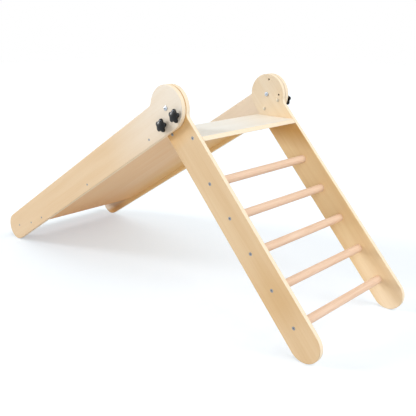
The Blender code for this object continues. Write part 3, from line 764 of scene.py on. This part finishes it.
def makeScrew(look, name):
    # The thread is cut from the shank's own diameter, so its core is thinner
    core = look["shank"] * look["coreShare"]
    cone = look["head"] - look["shank"]
    bm = spun((0, 0), [
        ("line", look["head"], 0),
        ("line", look["head"], -look["rim"]),
        ("line", look["shank"], -look["rim"] - cone),
        ("line", look["shank"], look["threadStart"]),
        ("line", core, look["threadStart"] - look["shank"] + core),
        ("line", core, look["point"] - look["length"]),
        ("line", 0, -look["length"]),
    ], look["steps"])
    body = carved(meshOf(bm, name), socketCutter(look["socketWidth"], look["socketDepth"]))
    low = look["point"] - look["length"]
    high = look["threadStart"] - look["pitch"]
    inside = core * screwSink
    thread = helix(inside, look["shank"], look["pitch"], low, high, look["threadSteps"])
    return joined(name, [(body, Matrix()), (thread, Matrix())])


def screwHole(look):
    # The countersunk hole that such a screw sits in, open above its head
    head, shank = look["head"] + seatGap, look["shank"] + seatGap
    cone = look["head"] - look["shank"]
    bm = spun((0, overrun), [
        ("line", head, overrun),
        ("line", head, -look["rim"] - seatGap),
        ("line", shank, -look["rim"] - cone - seatGap),
        ("line", shank, -look["length"] - seatGap),
        ("line", 0, -look["length"] - seatGap),
    ], look["steps"])
    return meshOf(bm, "screwHole")


def plainHole(radius, depth, innerRadius=None, ledge=0.0, steps=40):
    # A hole right through a plank from its outer face, which may change size at a ledge
    inner = innerRadius or radius
    bm = spun((0, overrun), [
        ("line", radius, overrun),
        ("line", radius, -(ledge or depth / 2)),
        ("line", inner, -(ledge or depth / 2)),
        ("line", inner, -depth - overrun),
        ("line", 0, -depth - overrun),
    ], steps)
    return meshOf(bm, "plainHole")


screwMesh = makeScrew(furnitureScrew, "furnitureScrew")
boardScrewMesh = makeScrew(boardScrew, "boardScrew")
screwHoleMesh = screwHole(furnitureScrew)
boardScrewHoleMesh = screwHole(boardScrew)
for sideName, side in sides.items():
    rungNodes = [f"rung_screw_{sideName}_{index}" for index in range(1, 6)]
    stepNodes = [f"step_screw_{sideName}_{index}" for index in (1, 2)]
    for node in rungNodes + stepNodes:
        standIn(node, screwMesh, "screw", facing(side, middleOf(node), railOuter))
    for index in range(1, 6):
        node = f"board_screw_{sideName}_{index}"
        place = facing(side, middleOf(node), panelOuter)
        standIn(node, boardScrewMesh, "screw", place)
print("screws made")


# Pivot: a button-head bolt, the sleeve nut that it screws into, and a thin washer
pivotValues = {
    "shank": 0.004,
    "head": 0.007,
    "headHeight": 0.0036,
    "headRim": 0.0014,
    "socketWidth": 0.005,
    "socketDepth": 0.0025,
    "tipMargin": 0.003,
    "pitch": 0.00125,
    "threadStart": -0.018,
    "coreShare": 0.82,
    "threadSteps": 32,
    "crownSteps": 10,
    "nutSleeve": 0.00525,
    "nutLength": 0.012,
    "nutHead": 0.007,
    "nutHeadHeight": 0.002,
    "nutFloor": 0.003,
    "nutSocketDepth": 0.0014,
    "washer": 0.012,
    "washerThickness": 0.0005,
    "steps": 64,
}


def makePivotBolt():
    look = pivotValues
    rise = look["headHeight"] - look["headRim"]
    crown = (look["head"] ** 2 + rise ** 2) / (2 * rise)
    crownTurn = -math.asin(look["head"] / crown)
    length = panelOuter + seatGap - railInner - look["tipMargin"]
    core = look["shank"] * look["coreShare"]
    bm = spun((0, look["headHeight"]), [
        ("arc", 0, look["headHeight"] - crown, crownTurn, look["crownSteps"]),
        ("line", look["head"], 0),
        ("line", look["shank"], 0),
        ("line", look["shank"], look["threadStart"]),
        ("line", core, look["threadStart"] - look["shank"] + core),
        ("line", core, -length),
        ("line", 0, -length),
    ], look["steps"])
    cutter = socketCutter(look["socketWidth"], look["socketDepth"], look["headHeight"])
    body = carved(meshOf(bm, "pivotBolt"), cutter)
    low, high = look["pitch"] / 2 - length, look["threadStart"] - look["pitch"]
    inside = core * boltSink
    thread = helix(inside, look["shank"], look["pitch"], low, high, look["threadSteps"])
    return joined("pivotBolt", [(body, Matrix()), (thread, Matrix())])


nutRim = {"round": 0.3, "steps": 5}  # the rounding takes this share of a nut head's height


def sleeveNut(name, look, slot=None):
    # Its flat head lies on the plank's face, its blind sleeve runs down into the plank
    bore = look["bore"]
    top = look["headHeight"]
    soft = top * nutRim["round"]
    bm = spun((0, top), [
        ("line", look["head"] - soft, top),
        ("arc", look["head"] - soft, top - soft, -math.pi / 2, nutRim["steps"]),
        ("line", look["head"], 0),
        ("line", look["sleeve"], 0),
        ("line", look["sleeve"], -look["length"]),
        ("line", bore, -look["length"]),
        ("line", bore, top - look["floor"]),
        ("line", 0, top - look["floor"]),
    ], look["steps"])
    mesh = meshOf(bm, name)
    return carved(mesh, slot) if slot else mesh


def makePivots():
    look = pivotValues
    boltMesh = makePivotBolt()
    nutLook = {
        "bore": look["shank"] + runningGap,
        "head": look["nutHead"],
        "headHeight": look["nutHeadHeight"],
        "sleeve": look["nutSleeve"],
        "length": look["nutLength"],
        "floor": look["nutFloor"],
        "steps": look["steps"],
    }
    socket = socketCutter(look["socketWidth"], look["nutSocketDepth"], look["nutHeadHeight"])
    nutMesh = sleeveNut("pivotNut", nutLook, socket)
    hole = look["shank"] + runningGap
    washer = spun((hole, 0), [
        ("line", look["washer"], 0),
        ("line", look["washer"], -look["washerThickness"]),
        ("line", hole, -look["washerThickness"]),
        ("line", hole, 0),
    ], look["steps"], closed=True)
    washerMesh = meshOf(washer, "pivotWasher")
    for sideName, side in sides.items():
        boltPlace = facing(side, pivot, panelOuter + seatGap)
        standIn("pivot_bolt_" + sideName, boltMesh, "zinc", boltPlace)
        nutPlace = facing(side, pivot, railInner - seatGap, inwards=True)
        standIn("pivot_nut_" + sideName, nutMesh, "zinc", nutPlace)
        washerPlace = facing(side, pivot, panelInner - seatGap)
        standIn("pivot_washer_" + sideName, washerMesh, "nylon", washerPlace)


makePivots()
print("pivots made")


# Fittings in the rails that take the knobs' studs: slotted sleeve nuts and open inserts
lockNut = {
    "bore": 0.0034,
    "head": 0.0055,
    "headHeight": 0.0012,
    "sleeve": 0.00425,
    "length": 0.014,
    "floor": 0.002,
    "steps": 48,
}
lockSlot = {"width": 0.0012, "depth": 0.0006}
insert = {
    "outer": 0.005,
    "bore": 0.0034,
    "length": 0.012,
    "rib": 0.0005,
    "ribs": 5,
    "ribCrest": 0.1,  # the share of its pitch over which a rib has its full height
    "steps": 48,
}


def makeFittings():
    reach = lockNut["head"] + overrun
    bm = bmesh.new()
    bmesh.ops.create_cube(bm, size=1)
    height = lockSlot["depth"] + overrun
    bmesh.ops.scale(bm, verts=bm.verts, vec=(lockSlot["width"], 2 * reach, height))
    middle = lockNut["headHeight"] - lockSlot["depth"] + height / 2
    bmesh.ops.translate(bm, verts=bm.verts, vec=(0, 0, middle))
    nutMesh = sleeveNut("lockNut", lockNut, meshOf(bm, "lockSlot"))
    # The insert's coarse outer ribs bite into the wood
    core = insert["outer"] - insert["rib"]
    pitch = insert["length"] / insert["ribs"]
    crest = insert["ribCrest"] / 2
    moves = [("line", core, 0)]
    for index in range(insert["ribs"]):
        top = -pitch * index
        moves.append(("line", insert["outer"], top - pitch * (0.5 - crest)))
        moves.append(("line", insert["outer"], top - pitch * (0.5 + crest)))
        moves.append(("line", core, top - pitch))
    moves += [("line", insert["bore"], -insert["length"]), ("line", insert["bore"], 0)]
    insertMesh = meshOf(spun((insert["bore"], 0), moves, insert["steps"], closed=True), "insert")
    for sideName, side in sides.items():
        for level in knobLevels:
            node = f"lock_nut_{sideName}_{level}"
            place = facing(side, middleOf(node), railInner - seatGap, inwards=True)
            standIn(node, nutMesh, "lockNut", place)
            node = f"threaded_insert_{sideName}_{level}"
            place = facing(side, middleOf(node), railOuter)
            standIn(node, insertMesh, "insert", place)


makeFittings()
print("fittings made")


# Planks: a round head, a hollow curve under it, a long shaft and a round foot
plank = {
    "front": 0.035,
    "hollow": 0.020,
    "edgeRound": 0.0025,
    "edgeSteps": 5,
    "edgeInset": 0.0008,
    "headSteps": 96,
    "footSteps": 64,
    "hollowSteps": 16,
}


def makePlank(name, place, direction, nodeLow, nodeHigh, low, high):
    # nodeLow and nodeHigh are the CAD plank's own corners, seen from its leaning frame
    head = nodeHigh.z
    foot = (head + plank["front"]) / 2
    run = max(-nodeLow.x, nodeHigh.x) - foot
    hollowZ = plank["front"] + plank["hollow"]
    hollowX = math.sqrt((head + plank["hollow"]) ** 2 - hollowZ ** 2)
    meet = math.atan2(hollowZ, hollowX)
    bm = bmesh.new()
    tracePath(bm, (head * math.cos(meet), head * math.sin(meet)), [
        ("arc", 0, 0, math.pi * 1.5 - meet, plank["headSteps"]),
        ("line", run, -head),
        ("arc", run, foot - head, math.pi, plank["footSteps"]),
        ("line", hollowX, plank["front"]),
        ("arc", hollowX, hollowZ, meet - math.pi / 2, plank["hollowSteps"]),
    ])
    face = flatFace(bm)
    nearRim, farRim = thicken(bm, face, low, high)
    roundEdges(bm, nearRim + farRim, plank["edgeRound"], plank["edgeSteps"])
    # A narrow border round both faces keeps the shading of the rounding off them
    broad = sorted(bm.faces, key=lambda item: item.calc_area())[-2:]
    bmesh.ops.inset_region(bm, faces=broad, thickness=plank["edgeInset"])
    bmesh.ops.scale(bm, verts=bm.verts, vec=(direction, 1, 1))
    bmesh.ops.transform(bm, matrix=place, verts=bm.verts)
    return meshOf(bm, name, sharp=25)


def makeRails():
    nodeLow, nodeHigh = boxIn("ladder_rail_near", ladderPlace)
    thickness = railOuter - railInner
    sleeveLedge = thickness - pivotValues["nutLength"] - seatGap
    sleeve = pivotValues["nutSleeve"] + seatGap
    pivotHole = plainHole(pivotValues["shank"] + runningGap, thickness, sleeve, sleeveLedge)
    lockHole = plainHole(lockNut["sleeve"] + seatGap, thickness)
    insertDepth = insert["length"] + seatGap
    insertHole = plainHole(insert["outer"] + seatGap, thickness, insert["bore"], insertDepth)
    for sideName, side in sides.items():
        low, high = sorted((side * railInner, side * railOuter))
        mesh = makePlank("rail", ladderPlace, 1, nodeLow, nodeHigh, low, high)
        holes = [(pivotHole, facing(side, pivot, railOuter))]
        for index in range(1, 6):
            screw = middleOf(f"rung_screw_{sideName}_{index}")
            holes.append((screwHoleMesh, facing(side, screw, railOuter)))
        for index in (1, 2):
            screw = middleOf(f"step_screw_{sideName}_{index}")
            holes.append((screwHoleMesh, facing(side, screw, railOuter)))
        for level in knobLevels:
            nut = middleOf(f"lock_nut_{sideName}_{level}")
            holes.append((lockHole, facing(side, nut, railOuter)))
            bush = middleOf(f"threaded_insert_{sideName}_{level}")
            holes.append((insertHole, facing(side, bush, railOuter)))
        rail = carved(mesh, joined("railHoles", holes), sharp=25)
        standIn("ladder_rail_" + sideName, rail, "rail" + sideName.capitalize())


def makePanels():
    nodeLow, nodeHigh = boxIn("slide_panel_near", slidePlace)
    thickness = panelOuter - panelInner
    pivotHole = plainHole(pivotValues["shank"] + runningGap, thickness)
    studHole = plainHole(lockNut["bore"], thickness)
    for sideName, side in sides.items():
        low, high = sorted((side * panelInner, side * panelOuter))
        mesh = makePlank("panel", slidePlace, -1, nodeLow, nodeHigh, low, high)
        holes = [(pivotHole, facing(side, pivot, panelOuter))]
        for level in knobLevels:
            stud = middleOf(f"knob_stud_{sideName}_{level}")
            holes.append((studHole, facing(side, stud, panelOuter)))
        for index in range(1, 6):
            screw = middleOf(f"board_screw_{sideName}_{index}")
            holes.append((boardScrewHoleMesh, facing(side, screw, panelOuter)))
        panel = carved(mesh, joined("panelHoles", holes), sharp=25)
        standIn("slide_panel_" + sideName, panel, "panel" + sideName.capitalize())


makeRails()
makePanels()
print("rails and panels made")


# Rungs: turned dowels with softly broken ends and a pilot hole up each end
rung = {"endRound": 0.0012, "endSteps": 5, "steps": 72}


def makeRungs():
    low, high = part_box("rung_1")
    half = (high.y - low.y) / 2
    radius = (high.z - low.z) / 2
    soft = rung["endRound"]
    hole = furnitureScrew["shank"] + seatGap
    depth = furnitureScrew["length"] + seatGap - (railOuter - half)
    bm = spun((0, half - depth), [
        ("line", hole, half - depth),
        ("line", hole, half),
        ("line", radius - soft, half),
        ("arc", radius - soft, half - soft, -math.pi / 2, rung["endSteps"]),
        ("line", radius, soft - half),
        ("arc", radius - soft, soft - half, -math.pi / 2, rung["endSteps"]),
        ("line", hole, -half),
        ("line", hole, depth - half),
        ("line", 0, depth - half),
    ], rung["steps"])
    mesh = meshOf(bm, "rung")
    for index in range(1, 6):
        node = f"rung_{index}"
        standIn(node, mesh, "rung", facing(1, middleOf(node), 0))


makeRungs()
print("rungs made")


# Step: level, its front edge sloped with the rails, every long edge rounded
step = {"edgeRound": 0.003, "edgeSteps": 5, "endRound": 0.0006, "endSteps": 2}


def makeStep():
    slope = ladderPlace.to_3x3() @ Vector((0, 0, 1))
    front = plank["front"]
    low, high = stepLow - pivot, stepHigh - pivot
    frontTop = (front - high.z * slope.z) / slope.x
    frontBottom = (front - low.z * slope.z) / slope.x
    bm = bmesh.new()
    tracePath(bm, (low.x, low.z), [
        ("line", low.x, high.z),
        ("line", frontTop, high.z),
        ("line", frontBottom, low.z),
        ("line", low.x, low.z),
    ])
    face = flatFace(bm)
    thicken(bm, face, stepLow.y, stepHigh.y)
    reach = stepHigh.y
    longEdges = [edge for edge in bm.edges if abs(edge.verts[0].co.y - edge.verts[1].co.y) > reach]
    roundEdges(bm, longEdges, step["edgeRound"], step["edgeSteps"])
    ends = [face for face in bm.faces if abs(face.normal.y) > 0.9]
    endEdges = {edge for face in ends for edge in face.edges}
    roundEdges(bm, list(endEdges), step["endRound"], step["endSteps"])
    bmesh.ops.translate(bm, verts=bm.verts, vec=(pivot.x, 0, pivot.z))
    holes = []
    for sideName, side in sides.items():
        for index in (1, 2):
            screw = middleOf(f"step_screw_{sideName}_{index}")
            holes.append((screwHoleMesh, facing(side, screw, railOuter)))
    mesh = carved(meshOf(bm, "step", sharp=25), joined("stepHoles", holes), sharp=25)
    standIn("step_board", mesh, "step")


makeStep()
print("step made")


# Slide board: straight, then levelling out in one smooth bend towards the foot
slideBoard = {
    "bendStart": 0.813,
    "bendRadius": 0.715,
    "bendSteps": 72,
    "endRound": 0.003,
    "endSteps": 5,
    "sharpest": 0.5,  # radians: only edges that turn more than this are rounded
}


def makeBoard():
    look = slideBoard
    thickness = boardPly["thickness"]
    low, high = boxIn("slide_board", slidePlace)
    bottom = -low.z
    top = bottom - thickness
    middle = (top + bottom) / 2
    start, reach = -high.x, -low.x
    centreZ = look["bendRadius"] - middle
    outer = look["bendRadius"] + thickness / 2
    inner = look["bendRadius"] - thickness / 2
    bend = math.asin((reach - look["bendStart"]) / outer)
    bm = bmesh.new()
    tracePath(bm, (start, -top), [
        ("line", look["bendStart"], -top),
        ("arc", look["bendStart"], centreZ, bend, look["bendSteps"]),
        ("line", look["bendStart"] + outer * math.sin(bend), centreZ - outer * math.cos(bend)),
        ("arc", look["bendStart"], centreZ, -bend, look["bendSteps"]),
        ("line", start, -bottom),
        ("line", start, -top),
    ])
    face = flatFace(bm)
    thicken(bm, face, low.y, high.y)
    ends = (start, look["bendStart"] + (outer + inner) / 2 * math.sin(bend))
    endEdges = []
    for edge in bm.edges:
        first, second = (vertex.co for vertex in edge.verts)
        crosses = abs(first.y - second.y) > high.y
        if crosses and any(abs(first.x - end) < thickness / 2 for end in ends):
            endEdges.append(edge)
    corner = [edge for edge in endEdges if edge.calc_face_angle() > look["sharpest"]]
    roundEdges(bm, corner, look["endRound"], look["endSteps"])
    bmesh.ops.scale(bm, verts=bm.verts, vec=(-1, 1, 1))
    bmesh.ops.transform(bm, matrix=slidePlace, verts=bm.verts)
    holes = []
    for sideName, side in sides.items():
        for index in range(1, 6):
            screw = middleOf(f"board_screw_{sideName}_{index}")
            holes.append((boardScrewHoleMesh, facing(side, screw, panelOuter)))
    mesh = carved(meshOf(bm, "board", sharp=25), joined("boardHoles", holes), sharp=25)
    # How deep each point lies under the sliding face, for the stripes of the veneers
    depths = mesh.attributes.new("plyDepth", "FLOAT", "POINT")
    inverse = slidePlace.inverted()
    for vertex in mesh.vertices:
        point = inverse @ vertex.co
        run = -point.x
        if run < look["bendStart"]:
            depth = -point.z - top
        else:
            depth = math.hypot(run - look["bendStart"], centreZ - point.z) - inner
        depths.data[vertex.index].value = depth
    standIn("slide_board", mesh, "board")


makeBoard()
print("slide board made")


# Knobs: five round lobes on a domed body, a hub below, and a threaded stud moulded in
knob = {
    "radius": 0.020,
    "valley": 0.0145,
    "lobe": 0.0062,
    "lobes": 5,
    "height": 0.0105,
    "hub": 0.009,
    "hubHeight": 0.0015,
    "hubRound": 0.0004,
    "hubRoundSteps": 4,
    "dome": 0.0045,
    "topRound": 0.0030,
    "topSteps": 6,
    "underRound": 0.0010,
    "underSteps": 3,
    "lobeSteps": 22,
    "valleySteps": 8,
    "hubSteps": 64,
    "rings": 6,
    "ringShare": 0.74,  # each ring's size against the one outside it
}
stud = {
    "shank": 0.003,
    "core": 0.0025,
    "pitch": 0.001,
    "point": 0.0006,
    "flange": 0.005,
    "flangeThickness": 0.003,
    "rootDepth": 0.0075,
    "threadTop": -0.0004,
    "threadSteps": 24,
    "steps": 48,
}


def lobedFace(bm):
    # The knob's outline in the XY plane, one lobe along +Y. Each lobe and valley is a true arc.
    look = knob
    share = math.pi / look["lobes"]
    lobeCentre = look["radius"] - look["lobe"]
    spread = 2 * lobeCentre * math.cos(share)
    top = lobeCentre ** 2 + look["valley"] ** 2 - spread * look["valley"] - look["lobe"] ** 2
    valleyArc = top / (2 * look["lobe"] - 2 * look["valley"] + spread)
    valleyCentre = look["valley"] + valleyArc
    valleyX, valleyZ = valleyCentre * math.sin(share), valleyCentre * math.cos(share)
    lobeTurn = math.atan2(valleyX, valleyZ - lobeCentre)
    valleyTurn = lobeTurn - share
    tracePath(bm, (look["valley"] * math.sin(share), look["valley"] * math.cos(share)), [
        ("arc", valleyX, valleyZ, -valleyTurn, look["valleySteps"]),
        ("arc", 0, lobeCentre, 2 * lobeTurn, look["lobeSteps"]),
        ("arc", -valleyX, valleyZ, -valleyTurn, look["valleySteps"]),
    ])
    bmesh.ops.spin(
        bm,
        geom=bm.verts[:] + bm.edges[:],
        cent=(0, 0, 0),
        axis=(0, 1, 0),
        angle=2 * math.pi,
        steps=look["lobes"],
        use_duplicate=True,
    )
    face = flatFace(bm)
    upright = Matrix.Rotation(-math.pi / 2, 3, "X")
    bmesh.ops.rotate(bm, verts=bm.verts, cent=(0, 0, 0), matrix=upright)
    return face


def makeKnobHead():
    look = knob
    bm = bmesh.new()
    face = lobedFace(bm)
    bmesh.ops.translate(bm, verts=bm.verts, vec=(0, 0, look["hubHeight"]))
    under = list(face.edges)
    raised, top = pulled(bm, face)
    bmesh.ops.translate(bm, verts=raised, vec=(0, 0, look["height"]))
    roundEdges(bm, list(top.edges), look["topRound"], look["topSteps"])
    roundEdges(bm, under, look["underRound"], look["underSteps"])
    # Rings of faces across the top, which then sink towards its rim to make the dome
    top = max(bm.faces, key=lambda item: item.calc_center_median().z)
    for _ in range(look["rings"]):
        ring, inner = pulled(bm, top)
        bmesh.ops.delete(bm, geom=[top], context="FACES_ONLY")  # or it stays inside the dome
        top = inner
        bmesh.ops.scale(bm, verts=ring, vec=(look["ringShare"], look["ringShare"], 1))
    for vertex in bm.verts:
        if vertex.co.z > look["hubHeight"] + look["height"] / 2:
            vertex.co.z -= look["dome"] * (vertex.co.xy.length / look["radius"]) ** 2
    soft = look["hubRound"]
    hubTop = look["hubHeight"] + look["height"] / 3
    hub = spun((0, hubTop), [
        ("line", look["hub"], hubTop),
        ("line", look["hub"], soft),
        ("arc", look["hub"] - soft, soft, -math.pi / 2, look["hubRoundSteps"]),
        ("line", 0, 0),
    ], look["hubSteps"])
    head = carved(meshOf(bm, "knobHead"), meshOf(hub, "knobHub"), operation="UNION")
    flange, shank = stud["flange"] + seatGap, stud["shank"] + seatGap
    root = stud["rootDepth"] + seatGap
    ledge = stud["rootDepth"] - stud["flangeThickness"] - seatGap
    pocket = spun((0, root), [
        ("line", flange, root),
        ("line", flange, ledge),
        ("line", shank, ledge),
        ("line", shank, -overrun),
        ("line", 0, -overrun),
    ], stud["steps"])
    return carved(head, meshOf(pocket, "knobPocket"))


def makeStud(tip):
    look = stud
    core, root = look["core"], look["rootDepth"]
    bm = spun((0, root), [
        ("line", look["flange"], root),
        ("line", look["flange"], root - look["flangeThickness"]),
        ("line", look["shank"], root - look["flangeThickness"]),
        ("line", look["shank"], look["threadTop"]),
        ("line", core, look["threadTop"] - look["shank"] + core),
        ("line", core, tip + look["point"]),
        ("line", core - look["point"], tip),
        ("line", 0, tip),
    ], look["steps"])
    low, high = tip + look["point"] + look["pitch"] / 2, look["threadTop"] - look["pitch"]
    inside = core * boltSink
    thread = helix(inside, look["shank"], look["pitch"], low, high, look["threadSteps"])
    return joined("knobStud", [(meshOf(bm, "knobStud"), Matrix()), (thread, Matrix())])


def makeKnobs():
    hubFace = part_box("knob_head_far_low")[0].y
    headMesh = makeKnobHead()
    studMesh = makeStud(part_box("knob_stud_far_low")[0].y - hubFace)
    for sideName, side in sides.items():
        # One lobe points straight up on both sides
        upright = Matrix.Rotation(math.pi if side > 0 else 0.0, 4, "Z")
        for level in knobLevels:
            tag = f"{sideName}_{level}"
            place = facing(side, middleOf("knob_stud_" + tag), hubFace) @ upright
            standIn("knob_head_" + tag, headMesh, "knob", place)
            standIn("knob_stud_" + tag, studMesh, "zinc", place)


makeKnobs()
print("knobs made")


# Stage: pale floor, white surroundings, soft lamps and the camera. The sky lights the shade warmly
# and the lamps are cooler, so that lit faces keep their colour while the shade turns golden.
stageValues = {
    "floorColour": "#D4D4D4",
    "floorGlow": 0.45,
    "glowColour": "#DCF1FF",  # bluish, which keeps the floor's shadow neutral under the warm sky
    "skyLight": 0.36,
    "skyColour": "#FFE6C6",
    "floorSize": 9.0,
}
lamps = {  # each lamp's direction from the object, its strength and its spread in degrees
    "key": {"from": (-0.68, -0.60, 0.42), "strength": 1.35, "spread": 16, "colour": "#E6F1FF"},
    "left": {"from": (-0.86, -0.50, 0.09), "strength": 1.10, "spread": 11, "colour": "#F4F6F8"},
    "front": {"from": (0.62, -0.72, 0.32), "strength": 1.05, "spread": 60, "colour": "#E6F1FF"},
    "right": {"from": (0.60, 0.14, 0.78), "strength": 2.18, "spread": 55, "colour": "#F0F6FF"},
    "bounce": {"from": (0.30, -0.30, -0.90), "strength": 0.80, "spread": 100, "colour": "#FFDDB4"},
}
view = {  # fitted to the photo's screws, rungs, heads and feet, in metres, degrees and millimetres
    "place": (1.4722, -1.4143, 0.8523),
    "turn": (72.880, -0.1147, 43.7053),
    "lens": 54.04,
    "sensor": 36.0,
    "shiftX": 0.00623,
    "shiftY": -0.00341,
}


def seenDirectly(tree):
    # 1 for rays from the camera, in a reflection or through glass, and 0 for the light itself
    path = addNode(tree, "LightPath")
    either = addNode(tree, "Math", {
        0: path.outputs["Is Camera Ray"], 1: path.outputs["Is Glossy Ray"]
    }, operation="MAXIMUM")
    return addNode(tree, "Math", {
        0: either.outputs[0], 1: path.outputs["Is Transmission Ray"]
    }, operation="MAXIMUM").outputs[0]


def makeStage():
    bm = bmesh.new()
    bmesh.ops.create_grid(bm, x_segments=1, y_segments=1, size=stageValues["floorSize"])
    floor = bpy.data.objects.new("floor", meshOf(bm, "floor"))
    bpy.context.scene.collection.objects.link(floor)
    floor.visible_shadow = False  # lets the bounce lamp through from below
    material = bpy.data.materials.new("paleFloor")
    material.use_nodes = True
    tree = material.node_tree
    tree.nodes.clear()
    matt = addNode(tree, "BsdfDiffuse", {"Color": hexColour(stageValues["floorColour"])})
    glow = addNode(tree, "Math", {
        0: seenDirectly(tree), 1: stageValues["floorGlow"]
    }, operation="MULTIPLY")
    shine = addNode(tree, "Emission", {
        "Color": hexColour(stageValues["glowColour"]), "Strength": glow.outputs[0]
    })
    both = addNode(tree, "AddShader", {0: matt.outputs[0], 1: shine.outputs[0]})
    addNode(tree, "OutputMaterial", {"Surface": both.outputs[0]})
    floor.data.materials.append(material)

    world = bpy.data.worlds.new("studio")
    world.use_nodes = True
    tree = world.node_tree
    tree.nodes.clear()
    seen = seenDirectly(tree)
    strength = addNode(tree, "MapRange", {
        "Value": seen, "To Min": stageValues["skyLight"], "To Max": 1.0
    })
    colour = addNode(tree, "Mix", {
        0: seen, 6: hexColour(stageValues["skyColour"]), 7: (1, 1, 1, 1)
    }, data_type="RGBA")
    sky = addNode(tree, "Background", {
        "Color": colour.outputs[2], "Strength": strength.outputs[0]
    })
    addNode(tree, "OutputWorld", {"Surface": sky.outputs[0]})
    bpy.context.scene.world = world

    for name, lamp in lamps.items():
        light = bpy.data.lights.new(name + "Lamp", "SUN")
        light.energy = lamp["strength"]
        light.angle = math.radians(lamp["spread"])
        light.color = hexColour(lamp["colour"])[:3]
        holder = bpy.data.objects.new(name + "Lamp", light)
        holder.rotation_euler = Vector(lamp["from"]).to_track_quat("Z", "Y").to_euler()
        bpy.context.scene.collection.objects.link(holder)


def makeCamera():
    camera = bpy.data.objects.new("camera", bpy.data.cameras.new("camera"))
    camera.location = view["place"]
    camera.rotation_euler = [math.radians(angle) for angle in view["turn"]]
    camera.data.lens = view["lens"]
    camera.data.sensor_width = view["sensor"]
    camera.data.shift_x = view["shiftX"]
    camera.data.shift_y = view["shiftY"]
    bpy.context.scene.collection.objects.link(camera)
    bpy.context.scene.camera = camera


makeStage()
makeCamera()
bpy.context.scene.view_settings.view_transform = "Standard"
print("stage and camera made")
